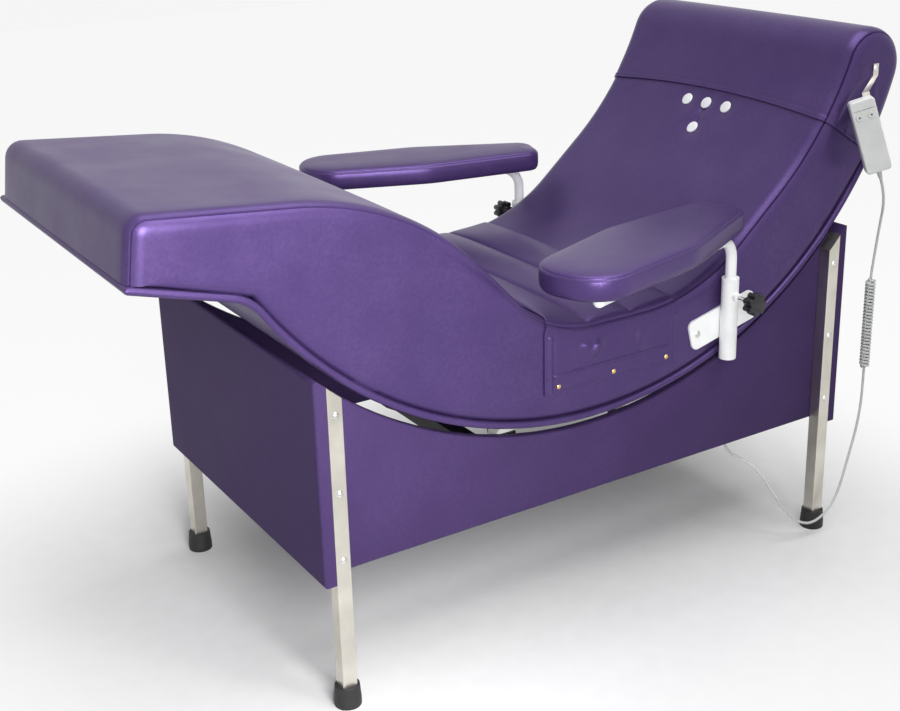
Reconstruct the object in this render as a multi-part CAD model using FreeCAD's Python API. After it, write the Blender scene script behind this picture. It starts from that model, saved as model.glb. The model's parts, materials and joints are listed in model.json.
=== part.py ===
import FreeCAD
import Part
import math
import os

# Blood donor couch: an S-curved upholstered cradle that rocks on rollers in a panelled base on four legs.
# Millimetres. +X points to the head, +Y to the sitter's right, +Z up.
# The origin is on the floor, under the middle of the couch.

# Rocking arc: the underside of the couch and the top edge of the base share this centre
ROCK_X = 43.0
BOARD_LOW = 369.0
BOARD_RADIUS = 730.0
BOARD_THICKNESS = 12.0
BOARD_EDGE_RADIUS = 5.0
PANEL_GAP = 17.0

# Side outline of the mattress, as corners that are rounded by the radii beside them
FOOT_KNUCKLE_ANGLE = -56.3
FOOT_RISE_ANGLE = 15.4
FOOT_END_X = -731.3
FOOT_TOP = (-716.3, 838.0)
FOOT_TOP_RADIUS = 22.0
KNEE = (-302.0, 801.0)
KNEE_RADIUS = 477.0
SEAT_FRONT_X = -45.5
SEAT_FRONT_RADIUS = 202.0
SEAT_BACK_X = 271.0
SEAT_BACK_RADIUS = 337.0
SEAT_HEIGHT = 529.0
BACK_BEND_AHEAD_OF_BOLSTER = 109.5
BACK_BEND_BELOW_BOLSTER = 111.0
BACK_BEND_RADIUS = 581.0
BEND_PIECES = 4
BOLSTER_RADIUS = 59.0
BOLSTER_HEIGHT = 886.0
BOARD_HEAD_ANGLE = 62.5

# Crown of the mattress over its width
COUCH_WIDTH = 600.0
EDGE_CROWN = 1.0
SHOULDER_CROWN = 7.0
QUARTER_CROWN = 7.5
MIDDLE_CROWN = 8.0
SHOULDER_INSET = 28.0
QUARTER_INSET = 110.0

# Head cover, pulled over the bolster like a pillowcase
HEAD_HEM_BELOW_BEND = 112.0
HEAD_HEM_ANGLE = 63.5
HEAD_PAST_HEM = 30.0
COVER_EASE = 0.3
COVER_CLOTH = 2.0

# Seat cover with three padded channels and a flap on each side
SEAT_COVER_FRONT_X = -55.5
CHANNEL_WIDTH = 90.0
CHANNEL_COUNT = 3
CHANNEL_RISE = 16.0
GROOVE_RISE = 4.0
SEAT_COVER_EASE = 0.5
FLAP_EASE = 0.4
FLAP_CLOTH = 2.6
FLAP_BOTTOM = 431.0
STUD_RADIUS = 5.0
STUD_HEIGHT = 3.0
STUD_ABOVE_HEM = 11.0
STUD_FROM_EDGE = 21.0

# White buttons on the backrest
BACK_BUTTON_RADIUS = 12.0
BACK_BUTTON_HEIGHT = 4.0
BACK_BUTTON_EASE = 0.7
BACK_BUTTON_PITCH = 54.0
BACK_BUTTON_ROW_BELOW_HEM = 22.0
BACK_BUTTON_LOW_BELOW_HEM = 77.0

# Base panels, legs and rubber feet
LEG_SIZE = 25.0
LEG_WALL = 2.0
LEG_EDGE_RADIUS = 1.5
LEG_FRONT_X = -461.0
LEG_REAR_X = 591.5
PANEL_INSET = 10.0
SIDE_PANEL_THICKNESS = 18.0
SIDE_PANEL_BOTTOM = 227.0
END_PANEL_THICKNESS = 20.0
END_PANEL_BOTTOM = 220.0
END_PANEL_SETBACK = 2.0
PANEL_EDGE_RADIUS = 5.0
FOOT_HEIGHT = 36.0
FOOT_FLOOR = 6.0
FOOT_TOP_DIAMETER = 40.0
FOOT_BASE_DIAMETER = 44.0
FOOT_BASE_HEIGHT = 12.0
LEG_SCREW_RADIUS = 6.0
LEG_SCREW_HEIGHT = 3.5
FRONT_SCREW_HEIGHTS = (261.0, 373.0, 501.0)
REAR_SCREW_HEIGHTS = (272.0, 398.0, 538.0)

# Cradle rails, rollers, forks and beams
RAIL_THICKNESS = 6.0
RAIL_WIDTH = 30.0
RAIL_INSET = 5.0
RAIL_FRONT_ANGLE = -31.0
RAIL_REAR_ANGLE = 48.0
ROLLER_RADIUS = 20.0
ROLLER_WIDTH = 24.0
ROLLER_GAP = 0.3
ROLLER_FRONT_ANGLE = -12.0
ROLLER_REAR_ANGLE = 28.0
AXLE_RADIUS = 5.0
AXLE_CLEARANCE = 0.08
AXLE_HEAD_RADIUS = 8.0
AXLE_HEAD = 2.0
FORK_CHEEK = 4.0
FORK_SIDE_GAP = 1.0
FORK_LENGTH = 34.0
FORK_RISE = 42.0
FORK_SHOULDER = 8.0
BEAM_SIZE = 30.0
BEAM_WALL = 2.0

# Tilt actuator between the rear of the base and the underside of the couch
ACTUATOR_X = 529.5
ACTUATOR_Z = 290.0
COUCH_PIN_ANGLE = -4.0
COUCH_PIN_DROP = 30.0
PIN_RADIUS = 6.0
PIN_CLEARANCE = 0.08
EYE_RADIUS = 13.0
EYE_WIDTH = 24.0
EAR_GAP = 0.4
EAR_THICKNESS = 5.0
SLOT_OUTWARD = 11.0
SLOT_INWARD = 4.0
SLOT_EASE = 1.6
GEARBOX_START = 16.0
GEARBOX_LENGTH = 62.0
GEARBOX_HEIGHT = 54.0
GEARBOX_LEFT = 24.0
MOTOR_RADIUS = 27.0
MOTOR_LENGTH = 120.0
MOTOR_OFFSET = 46.0
SLEEVE_RADIUS = 18.0
SLEEVE_BORE = 14.0
SLEEVE_END = 445.0
GUIDE_LENGTH = 24.0
ROD_RADIUS = 10.0
ROD_CLEARANCE = 0.1
ROD_LENGTH = 345.0
CLEVIS_PLATE = 5.0
CLEVIS_LENGTH = 60.0

# Control box inside the left side panel, with the handset cord's gland below it
BOX_X = 386.5
BOX_LENGTH = 110.0
BOX_DEPTH = 48.0
BOX_BOTTOM = 243.0
BOX_HEIGHT = 82.0
BOX_FILLET = 6.0
GLAND_FROM_PANEL = 24.0
GLAND_LENGTH = 20.0
GLAND_RADIUS = 8.0
GLAND_TIP_RADIUS = 4.0

# Armrest bracket on the couch's side
SOCKET_X = 321.5
SOCKET_RADIUS = 15.0
SOCKET_BOTTOM = 416.0
SOCKET_TOP = 564.0
SOCKET_SINK = 1.0
POST_CLEARANCE = 0.1
PLATE_LENGTH = 152.0
PLATE_HEIGHT = 55.0
PLATE_THICKNESS = 4.0
PLATE_CORNER = 12.0
PLATE_ANGLE = 13.6
PLATE_CENTRE_Z = 482.0
PLATE_SCREW_INSET = 16.0
SCREW_RADIUS = 6.5
SCREW_HEIGHT = 3.0

# Armrest post, carrier plate and pad
POST_RADIUS = 9.5
POST_WALL = 2.0
POST_BOTTOM = 450.0
POST_BEND_RADIUS = 40.0
POST_REACH = 410.0
PLUG_LENGTH = 14.0
PLUG_FLANGE = 2.0
ARM_PLATE_THICKNESS = 4.0
ARM_PLATE_INSET = 24.0
ARM_SPLAY = 18.5
PAD_BOTTOM = 650.0
PAD_BAND = 32.0
PAD_CROWN = 8.0
PAD_FOOT_INSET = 5.0
PAD_SEAM_INSET = 3.0
PAD_SHOULDER_INSET = 12.0
PAD_TOP_INSET = 30.0
PAD_SWELL_START = 10.0
PAD_SWELL_END = 22.0
PAD_SHOULDER_RISE = 5.0
PAD_OFFSET = 32.0
PAD_FRONT = 459.5
PAD_FRONT_HALF_WIDTH = 74.0
PAD_FRONT_RADIUS = 70.0
PAD_WIDEST = 214.0
PAD_HALF_WIDTH = 88.0
PAD_WIDEST_RADIUS = 160.0
PAD_REAR = 25.0
PAD_REAR_HALF_WIDTH = 48.0
PAD_REAR_RADIUS = 34.0

# Clamp knob
CLAMP_Z = 532.0
STUD_BOSS_RADIUS = 8.0
STUD_BOSS_LENGTH = 6.0
CLAMP_STUD_RADIUS = 4.0
CLAMP_STUD_CLEARANCE = 0.06
CLAMP_TIP_GAP = 0.3
CLAMP_STUD_SHOWN = 22.0
KNOB_HUB_RADIUS = 9.0
KNOB_HUB_LENGTH = 8.0
KNOB_RADIUS = 20.0
KNOB_LOBES = 7
KNOB_LOBE_RADIUS = 5.5
KNOB_THICKNESS = 18.0

# Handset, its hook and its boot
HANDSET_LENGTH = 136.0
HANDSET_WIDTH = 45.0
HANDSET_THICKNESS = 22.0
HANDSET_CORNER = 7.0
HANDSET_EDGE = 3.0
HANDSET_AHEAD_OF_HOOK = 45.0
HANDSET_BELOW_HOOK = 108.0
HANDSET_FROM_COUCH = 40.0
HANDSET_YAW = -35.0
HANDSET_LEAN = -18.0
BUTTON_RADIUS = 6.5
BUTTON_PITCH = 21.0
BUTTON_FROM_TOP = 30.0
BUTTON_PROUD = 1.2
BUTTON_POCKET = 4.0
BUTTON_TRAVEL = 0.8
BUTTON_EASE = 0.25
BOOT_LENGTH = 16.0
BOOT_RADIUS = 5.0
BOOT_TIP_RADIUS = 3.0
HOOK_WIDTH = 13.0
HOOK_THICKNESS = 2.5
HOOK_AHEAD_OF_BOLSTER = 3.0
HOOK_BELOW_BOLSTER = 2.0
HOOK_ABOVE_SCREW = 9.0
HOOK_BELOW_SCREW = 12.0
HOOK_SEAT_GAP = 0.3
HOOK_GRIP = 26.0
HOOK_STAND = 6.0
HOOK_SIDE = 14.0
HOOK_SCREW_RADIUS = 5.5

# Handset cord: dia 5, straight, then curly, then a loop that hangs to the base
CORD_RADIUS = 2.5
CURL_X = 656.5
CURL_Y = -336.0
CURL_TOP = 512.0
CURL_BOTTOM = 312.0
CURL_RADIUS = 7.4
CURL_TURNS = 28
CURL_LEAD = 10.0
CURL_SAMPLES = 24
CURL_SAMPLES_SKIPPED = 16
CORD_BEND_SHARE = 0.45
CORD_LEAD = 34.0
UPPER_CORD_POINTS = ((668.5, -336.0, 600.0),)
LOWER_CORD_POINTS = (
    (656.5, -336.0, 282.0),
    (655.5, -336.0, 246.0),
    (646.5, -336.5, 196.0),
    (631.5, -336.0, 145.0),
    (611.5, -336.0, 78.0),
    (586.5, -335.0, 41.0),
    (545.5, -333.0, 24.0),
    (508.5, -328.0, 39.0),
    (477.5, -322.0, 74.0),
    (448.5, -312.0, 124.0),
    (422.5, -296.0, 172.0),
)

# Worked-out places
ROCK_Z = BOARD_LOW + BOARD_RADIUS
FACE_TOLERANCE = 0.05
HALF = COUCH_WIDTH / 2
PANEL_OUTER = HALF - PANEL_INSET
PANEL_INNER = PANEL_OUTER - SIDE_PANEL_THICKNESS
LEG_OUTER = PANEL_OUTER + LEG_SIZE
PANEL_RADIUS = BOARD_RADIUS + PANEL_GAP
CUSHION_RADIUS = BOARD_RADIUS - BOARD_THICKNESS
RAIL_RADIUS = BOARD_RADIUS + RAIL_THICKNESS
RAIL_Y = PANEL_INNER - RAIL_INSET - RAIL_WIDTH / 2
ROLLER_ARC = RAIL_RADIUS + ROLLER_GAP + ROLLER_RADIUS
SOCKET_Y = HALF + PLATE_THICKNESS + SOCKET_RADIUS - SOCKET_SINK
ARM_PLATE_BOTTOM = PAD_BOTTOM - ARM_PLATE_THICKNESS
POST_RUN_Z = ARM_PLATE_BOTTOM - POST_RADIUS
PAD_SEAM = PAD_BOTTOM + PAD_BAND
X_AXIS = FreeCAD.Vector(1, 0, 0)
Y_AXIS = FreeCAD.Vector(0, 1, 0)
Z_AXIS = FreeCAD.Vector(0, 0, 1)
ORIGIN = FreeCAD.Vector(0, 0, 0)
STRIP_CORNERS = ((-1, -1), (1, -1), (1, 1), (-1, 1))
CROWN_STATIONS = (
    (-HALF, EDGE_CROWN),
    (SHOULDER_INSET - HALF, SHOULDER_CROWN),
    (QUARTER_INSET - HALF, QUARTER_CROWN),
    (0.0, MIDDLE_CROWN),
    (HALF - QUARTER_INSET, QUARTER_CROWN),
    (HALF - SHOULDER_INSET, SHOULDER_CROWN),
    (HALF, EDGE_CROWN),
)


# Plane geometry
def vec(x, y, z):
    return FreeCAD.Vector(x, y, z)


def plus(p, q, scale=1.0):
    return (p[0] + q[0] * scale, p[1] + q[1] * scale)


def unit(p, q):
    length = math.hypot(q[0] - p[0], q[1] - p[1])
    return ((q[0] - p[0]) / length, (q[1] - p[1]) / length)


def turned(angle):
    return (math.cos(math.radians(angle)), math.sin(math.radians(angle)))


def on_arc(radius, angle):
    """Point on a circle about the rocking centre; the angle runs from straight down towards the head."""
    a = math.radians(angle)
    return (ROCK_X + radius * math.sin(a), ROCK_Z - radius * math.cos(a))


def arc_angle(p):
    return math.degrees(math.atan2(p[0] - ROCK_X, ROCK_Z - p[1]))


def rock_arc(radius, start, end):
    return ("arc", on_arc(radius, start), on_arc(radius, (start + end) / 2), on_arc(radius, end))


def crossing(p, d, q, e):
    """Crossing of the line through p along d with the line through q along e."""
    det = d[0] * e[1] - d[1] * e[0]
    t = ((q[0] - p[0]) * e[1] - (q[1] - p[1]) * e[0]) / det
    return plus(p, d, t)


def line_on_rock_circle(p, d, radius):
    """Where the line through p along d first meets the circle about the rocking centre."""
    rel = (p[0] - ROCK_X, p[1] - ROCK_Z)
    half_b = rel[0] * d[0] + rel[1] * d[1]
    c = rel[0] ** 2 + rel[1] ** 2 - radius ** 2
    return plus(p, d, -half_b - math.sqrt(half_b ** 2 - c))


def shifted_corners(corners, shifts):
    """Corners of an open path after each of its runs has moved to its left by its own shift."""
    runs = []
    for p, q, shift in zip(corners, corners[1:], shifts):
        d = unit(p, q)
        runs.append((plus(p, (-d[1], d[0]), shift), d))
    ends = plus(corners[-1], (-runs[-1][1][1], runs[-1][1][0]), shifts[-1])
    inner = [crossing(a[0], a[1], b[0], b[1]) for a, b in zip(runs, runs[1:])]
    return [runs[0][0]] + inner + [ends]


def rounded(corners, radii, closed=False):
    """Lines and tangent arcs along corners; a radius of 0 leaves its corner sharp."""
    count = len(corners)
    cuts = []
    for i, (p, r) in enumerate(zip(corners, radii)):
        if r == 0:
            cuts.append((p, p, None))
            continue
        u = unit(p, corners[i - 1])
        w = unit(p, corners[(i + 1) % count])
        half = math.acos(max(-1.0, min(1.0, u[0] * w[0] + u[1] * w[1]))) / 2
        reach = r / math.tan(half)
        centre = plus(p, unit((0, 0), plus(u, w)), r / math.sin(half))
        cuts.append((plus(p, u, reach), plus(p, w, reach), plus(centre, unit(centre, p), r)))
    path = []
    for i, (start, end, middle) in enumerate(cuts):
        if middle is not None:
            path.append(("arc", start, middle, end))
        if closed or i + 1 < count:
            path.append(("line", end, cuts[(i + 1) % count][0]))
    return path


def edges(path, place):
    made = []
    for piece in path:
        points = [place(p) for p in piece[1:]]
        if piece[0] == "arc":
            made.append(Part.Arc(*points).toShape())
        else:
            made.append(Part.LineSegment(*points).toShape())
    return made


def upright(y):
    return lambda p: vec(p[0], y, p[1])


def level(z):
    return lambda p: vec(p[0], p[1], z)


def wire(path, place):
    return Part.Wire(edges(path, place))


def extruded(path, place, along):
    return Part.Face(wire(path, place)).extrude(along)


def mirrored(shape):
    return shape.mirror(ORIGIN, Y_AXIS)


def box(x0, x1, y0, y1, z0, z1):
    return Part.makeBox(x1 - x0, y1 - y0, z1 - z0, vec(x0, y0, z0))


def drum(radius, length, x, y, z, axis=Y_AXIS):
    return Part.makeCylinder(radius, length, vec(x, y, z), axis)


def edges_at(shape, axis, place):
    """Edges of a shape whose middle lies at one place along an axis."""
    return [e for e in shape.Edges if abs(e.CenterOfMass.dot(axis) - place) < FACE_TOLERANCE]


def rock_drum(radius):
    return drum(radius, 2 * LEG_OUTER, ROCK_X, -LEG_OUTER, ROCK_Z)


def write(name, shape):
    shape.exportStep(os.path.join("parts", name + ".step"))


def on_both_sides(name, left):
    write(name + "_left", left)
    write(name + "_right", mirrored(left))


# Board under the mattress
KNUCKLE = on_arc(BOARD_RADIUS, FOOT_KNUCKLE_ANGLE)
FOOT_DIRECTION = (-math.cos(math.radians(FOOT_RISE_ANGLE)), math.sin(math.radians(FOOT_RISE_ANGLE)))
FOOT_NORMAL = (math.sin(math.radians(FOOT_RISE_ANGLE)), math.cos(math.radians(FOOT_RISE_ANGLE)))
FOOT_REACH = (FOOT_END_X - KNUCKLE[0]) / FOOT_DIRECTION[0]
FOOT_UNDER = plus(KNUCKLE, FOOT_DIRECTION, FOOT_REACH)
FOOT_SEAT = plus(FOOT_UNDER, FOOT_NORMAL, BOARD_THICKNESS)
INNER_KNUCKLE = line_on_rock_circle(FOOT_SEAT, (-FOOT_DIRECTION[0], -FOOT_DIRECTION[1]), CUSHION_RADIUS)


def couch_board():
    path = [
        rock_arc(BOARD_RADIUS, FOOT_KNUCKLE_ANGLE, BOARD_HEAD_ANGLE),
        ("line", on_arc(BOARD_RADIUS, BOARD_HEAD_ANGLE), on_arc(CUSHION_RADIUS, BOARD_HEAD_ANGLE)),
        rock_arc(CUSHION_RADIUS, BOARD_HEAD_ANGLE, arc_angle(INNER_KNUCKLE)),
        ("line", INNER_KNUCKLE, FOOT_SEAT),
        ("line", FOOT_SEAT, FOOT_UNDER),
        ("line", FOOT_UNDER, KNUCKLE),
    ]
    board = extruded(path, upright(-HALF), Y_AXIS * COUCH_WIDTH)
    under = (on_arc(BOARD_RADIUS, BOARD_HEAD_ANGLE), KNUCKLE, FOOT_UNDER)

    def is_under(vertex):
        return any(math.hypot(vertex.X - x, vertex.Z - z) < FACE_TOLERANCE for x, z in under)
    sides = edges_at(board, Y_AXIS, -HALF) + edges_at(board, Y_AXIS, HALF)
    return board.makeFillet(BOARD_EDGE_RADIUS, [e for e in sides if all(is_under(v) for v in e.Vertexes)])


# Mattress: one side outline per station across the width, raised by the crown there
BOLSTER_ARC = CUSHION_RADIUS - BOLSTER_RADIUS
BOLSTER_X = ROCK_X + math.sqrt(BOLSTER_ARC ** 2 - (ROCK_Z - BOLSTER_HEIGHT) ** 2)
BOLSTER = (BOLSTER_X, BOLSTER_HEIGHT)
BACK_BEND = (BOLSTER_X - BACK_BEND_AHEAD_OF_BOLSTER, BOLSTER_HEIGHT - BACK_BEND_BELOW_BOLSTER)
BOLSTER_ANGLE = arc_angle(BOLSTER)
HOOK_X = BOLSTER_X - HOOK_AHEAD_OF_BOLSTER
HOOK_Z = BOLSTER_HEIGHT - HOOK_BELOW_BOLSTER
BEND_TO_BOLSTER = math.hypot(BOLSTER[0] - BACK_BEND[0], BOLSTER[1] - BACK_BEND[1])
BACK_ANGLE = math.degrees(
    math.atan2(BOLSTER[1] - BACK_BEND[1], BOLSTER[0] - BACK_BEND[0])
    + math.asin(BOLSTER_RADIUS / BEND_TO_BOLSTER)
)
BACK_DIRECTION = turned(BACK_ANGLE)
BACK_NORMAL = turned(BACK_ANGLE + 90)
SEAT_BACK_TURN = math.atan2(BACK_BEND[1] - SEAT_HEIGHT, BACK_BEND[0] - SEAT_BACK_X)
BACK_TURN = math.radians(BACK_ANGLE) - SEAT_BACK_TURN
BACK_BEND_END = plus(BACK_BEND, BACK_DIRECTION, BACK_BEND_RADIUS * math.tan(BACK_TURN / 2))
BACK_BEND_CENTRE = plus(BACK_BEND_END, BACK_NORMAL, BACK_BEND_RADIUS)
OUTLINE = (
    INNER_KNUCKLE,
    FOOT_SEAT,
    FOOT_TOP,
    KNEE,
    (SEAT_FRONT_X, SEAT_HEIGHT),
    (SEAT_BACK_X, SEAT_HEIGHT),
    BACK_BEND,
    plus(BOLSTER, BACK_NORMAL, BOLSTER_RADIUS),
)


def back_spot(along, crown):
    """Place on the backrest and its outward direction; along runs up from the end of the bend."""
    if along >= 0:
        return plus(plus(BACK_BEND_END, BACK_DIRECTION, along), BACK_NORMAL, crown), BACK_NORMAL
    outward = turned(BACK_ANGLE + 90 + math.degrees(along / BACK_BEND_RADIUS))
    return plus(BACK_BEND_CENTRE, outward, crown - BACK_BEND_RADIUS), outward


def bend_path(crown):
    """The backrest's bend from the seat up, in pieces of which the last starts at the head cover's hem."""
    below_hem = BACK_BEND_RADIUS * BACK_TURN - HEAD_HEM_BELOW_BEND
    stops = [HEAD_HEM_BELOW_BEND + below_hem * i / BEND_PIECES for i in range(BEND_PIECES, -1, -1)] + [0.0]
    path = []
    for low, high in zip(stops, stops[1:]):
        path.append(("arc",) + tuple(back_spot(-below, crown)[0] for below in (low, (low + high) / 2, high)))
    return path


def bolster_path(crown, hem_angle):
    """From the backrest's tangent point round the bolster and down the back of the head."""
    radius = BOLSTER_RADIUS + crown
    start = plus(BOLSTER, BACK_NORMAL, radius)
    end = plus(BOLSTER, turned(BOLSTER_ANGLE - 90), radius)
    middle = plus(BOLSTER, turned((BACK_ANGLE + BOLSTER_ANGLE) / 2), radius)
    return [("arc", start, middle, end), rock_arc(CUSHION_RADIUS + crown, BOLSTER_ANGLE, hem_angle)]


def mattress_path(crown):
    corners = shifted_corners(OUTLINE, (0.0,) + (crown,) * (len(OUTLINE) - 2))
    radii = (
        0,
        0,
        FOOT_TOP_RADIUS + crown,
        KNEE_RADIUS + crown,
        SEAT_FRONT_RADIUS - crown,
        SEAT_BACK_RADIUS - crown,
        BACK_BEND_RADIUS - crown,
        0,
    )
    path = rounded(corners, radii)
    path[-2:-1] = bend_path(crown)
    path += bolster_path(crown, BOARD_HEAD_ANGLE)
    path.append(("line", path[-1][-1], on_arc(CUSHION_RADIUS, BOARD_HEAD_ANGLE)))
    path.append(rock_arc(CUSHION_RADIUS, BOARD_HEAD_ANGLE, arc_angle(INNER_KNUCKLE)))
    return path


def mattress():
    return Part.makeLoft([wire(mattress_path(crown), upright(y)) for y, crown in CROWN_STATIONS], True, True)


# Head cover
def head_path(crown, below_bend, hem_angle):
    """From the hem on the backrest's bend up its straight run, round the bolster and back to the hem."""
    hem = back_spot(-below_bend, crown)[0]
    halfway = back_spot(-below_bend / 2, crown)[0]
    bend_end = back_spot(0, crown)[0]
    path = bolster_path(crown, hem_angle)
    climb = [("arc", hem, halfway, bend_end), ("line", bend_end, path[0][1])]
    return climb + path + [("line", path[-1][-1], hem)]


def head_block(ease, below_bend, hem_angle):
    """The head of the mattress above its hem, swollen by the ease on every side."""
    wires = []
    for y, crown in CROWN_STATIONS:
        side = y + math.copysign(ease, y) if abs(y) == HALF else y
        wires.append(wire(head_path(crown + ease, below_bend, hem_angle), upright(side)))
    return Part.makeLoft(wires, True, True)


def head_cover():
    inner_hem_angle = HEAD_HEM_ANGLE - math.degrees(HEAD_PAST_HEM / BOARD_RADIUS)
    inner = head_block(COVER_EASE, HEAD_HEM_BELOW_BEND + HEAD_PAST_HEM, inner_hem_angle)
    return head_block(COVER_EASE + COVER_CLOTH, HEAD_HEM_BELOW_BEND, HEAD_HEM_ANGLE).cut(inner)


# Seat cover
SEAT_FRONT_TURN = math.atan2(KNEE[1] - SEAT_HEIGHT, SEAT_FRONT_X - KNEE[0])
FRONT_HOLLOW_X = SEAT_FRONT_X + SEAT_FRONT_RADIUS * math.tan(SEAT_FRONT_TURN / 2)
BACK_HOLLOW_X = SEAT_BACK_X - SEAT_BACK_RADIUS * math.tan(SEAT_BACK_TURN / 2)


def seat_point(x, rise):
    """Point that stands above the seat's uncrowned outline by the rise, square to it, from the foot at x."""
    if FRONT_HOLLOW_X <= x <= BACK_HOLLOW_X:
        return (x, SEAT_HEIGHT + rise)
    radius, centre_x = SEAT_FRONT_RADIUS, FRONT_HOLLOW_X
    if x > BACK_HOLLOW_X:
        radius, centre_x = SEAT_BACK_RADIUS, BACK_HOLLOW_X
    a = math.asin((x - centre_x) / radius)
    return (centre_x + (radius - rise) * math.sin(a), SEAT_HEIGHT + radius - (radius - rise) * math.cos(a))


def seat_run(index, low, middle):
    x0 = SEAT_COVER_FRONT_X + index * CHANNEL_WIDTH
    x1 = x0 + CHANNEL_WIDTH
    if low == middle and FRONT_HOLLOW_X <= x0 and x1 <= BACK_HOLLOW_X:
        return ("line", seat_point(x0, low), seat_point(x1, low))
    return ("arc", seat_point(x0, low), seat_point((x0 + x1) / 2, middle), seat_point(x1, low))


def channel_tops(crown):
    return [seat_run(i, crown + GROOVE_RISE, crown + CHANNEL_RISE) for i in range(CHANNEL_COUNT)]


def backwards(piece):
    return (piece[0],) + piece[:0:-1]


def seat_cover_path(crown):
    rest = crown + SEAT_COVER_EASE
    tops = channel_tops(crown)
    unders = [seat_run(i, rest, rest) for i in range(CHANNEL_COUNT)]
    rear = ("line", tops[-1][-1], unders[-1][-1])
    front = ("line", unders[0][1], tops[0][1])
    return tops + [rear] + [backwards(piece) for piece in reversed(unders)] + [front]


def flap(side):
    tops = channel_tops(EDGE_CROWN)
    rear = tops[-1][-1]
    front = tops[0][1]
    path = tops + [
        ("line", rear, (rear[0], FLAP_BOTTOM)),
        ("line", (rear[0], FLAP_BOTTOM), (front[0], FLAP_BOTTOM)),
        ("line", (front[0], FLAP_BOTTOM), front),
    ]
    return extruded(path, upright(side * (HALF + FLAP_EASE)), Y_AXIS * (side * FLAP_CLOTH))


def seat_cover():
    wires = []
    for y, crown in CROWN_STATIONS:
        side = y + math.copysign(FLAP_EASE, y) if abs(y) == HALF else y
        wires.append(wire(seat_cover_path(crown), upright(side)))
    return Part.makeLoft(wires, True, True).fuse([flap(-1), flap(1)]).removeSplitter()


def dome(radius, height, place, axis):
    """A shallow rivet head that stands on its place: part of a ball, turned from its profile."""
    ball = (radius ** 2 + height ** 2) / (2 * height)
    halfway = math.asin(radius / ball) / 2
    middle = (ball * math.sin(halfway), height - ball + ball * math.cos(halfway))
    profile = [
        ("line", (0.0, 0.0), (radius, 0.0)),
        ("arc", (radius, 0.0), middle, (0.0, height)),
        ("line", (0.0, height), (0.0, 0.0)),
    ]
    cap = Part.Face(wire(profile, upright(0))).revolve(ORIGIN, Z_AXIS, 360)
    cap.Placement = FreeCAD.Placement(place, FreeCAD.Rotation(Z_AXIS, axis))
    return cap


def cover_studs():
    span = CHANNEL_COUNT * CHANNEL_WIDTH / 2 - STUD_FROM_EDGE
    middle = SEAT_COVER_FRONT_X + CHANNEL_COUNT * CHANNEL_WIDTH / 2
    face = HALF + FLAP_EASE + FLAP_CLOTH
    studs = []
    for side in (-1, 1):
        for x in (middle - span, middle, middle + span):
            place = vec(x, side * face, FLAP_BOTTOM + STUD_ABOVE_HEM)
            studs.append(dome(STUD_RADIUS, STUD_HEIGHT, place, Y_AXIS * side))
    return Part.makeCompound(studs)


def crown_at(y):
    for (y0, c0), (y1, c1) in zip(CROWN_STATIONS, CROWN_STATIONS[1:]):
        if y0 <= y <= y1:
            return c0 + (c1 - c0) * (y - y0) / (y1 - y0)


def back_buttons():
    spots = [(BACK_BUTTON_ROW_BELOW_HEM, y) for y in (-BACK_BUTTON_PITCH, 0.0, BACK_BUTTON_PITCH)]
    spots.append((BACK_BUTTON_LOW_BELOW_HEM, 0.0))
    buttons = []
    for below_hem, y in spots:
        foot, outward = back_spot(-HEAD_HEM_BELOW_BEND - below_hem, crown_at(y) + BACK_BUTTON_EASE)
        normal = vec(outward[0], 0, outward[1])
        buttons.append(dome(BACK_BUTTON_RADIUS, BACK_BUTTON_HEIGHT, vec(foot[0], y, foot[1]), normal))
    return Part.makeCompound(buttons)


# Base
def end_panel(x0, show_x):
    """A panel across the base; the edges of its shown face are rounded."""
    half = LEG_OUTER - END_PANEL_SETBACK
    slab = box(x0, x0 + END_PANEL_THICKNESS, -half, half, END_PANEL_BOTTOM, ROCK_Z)
    slab = slab.cut(rock_drum(PANEL_RADIUS))
    return slab.makeFillet(PANEL_EDGE_RADIUS, edges_at(slab, X_AXIS, show_x))


def side_panel():
    slab = box(LEG_FRONT_X, LEG_REAR_X, -PANEL_OUTER, -PANEL_INNER, SIDE_PANEL_BOTTOM, ROCK_Z)
    return slab.cut(rock_drum(PANEL_RADIUS))


def leg(x0):
    inner = box(
        x0 + LEG_WALL, x0 + LEG_SIZE - LEG_WALL,
        LEG_WALL - LEG_OUTER, -LEG_WALL - PANEL_OUTER,
        FOOT_FLOOR, ROCK_Z,
    )
    bar = box(x0, x0 + LEG_SIZE, -LEG_OUTER, -PANEL_OUTER, FOOT_FLOOR, ROCK_Z)
    corners = [e for e in bar.Edges if e.BoundBox.ZLength > LEG_SIZE]
    tube = bar.makeFillet(LEG_EDGE_RADIUS, corners).cut(rock_drum(PANEL_RADIUS))
    return tube.cut(inner.cut(rock_drum(PANEL_RADIUS + LEG_WALL)))


def rubber_foot(x0):
    base = FOOT_BASE_DIAMETER / 2
    top = FOOT_TOP_DIAMETER / 2
    profile = [
        ("line", (0.0, 0.0), (base, 0.0)),
        ("line", (base, 0.0), (base, FOOT_BASE_HEIGHT)),
        ("line", (base, FOOT_BASE_HEIGHT), (top, FOOT_HEIGHT)),
        ("line", (top, FOOT_HEIGHT), (0.0, FOOT_HEIGHT)),
        ("line", (0.0, FOOT_HEIGHT), (0.0, 0.0)),
    ]
    cap = Part.Face(wire(profile, upright(0))).revolve(ORIGIN, Z_AXIS, 360)
    cap.translate(vec(x0 + LEG_SIZE / 2, -(LEG_OUTER + PANEL_OUTER) / 2, 0))
    return cap.cut(box(x0, x0 + LEG_SIZE, -LEG_OUTER, -PANEL_OUTER, FOOT_FLOOR, FOOT_HEIGHT))


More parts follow.
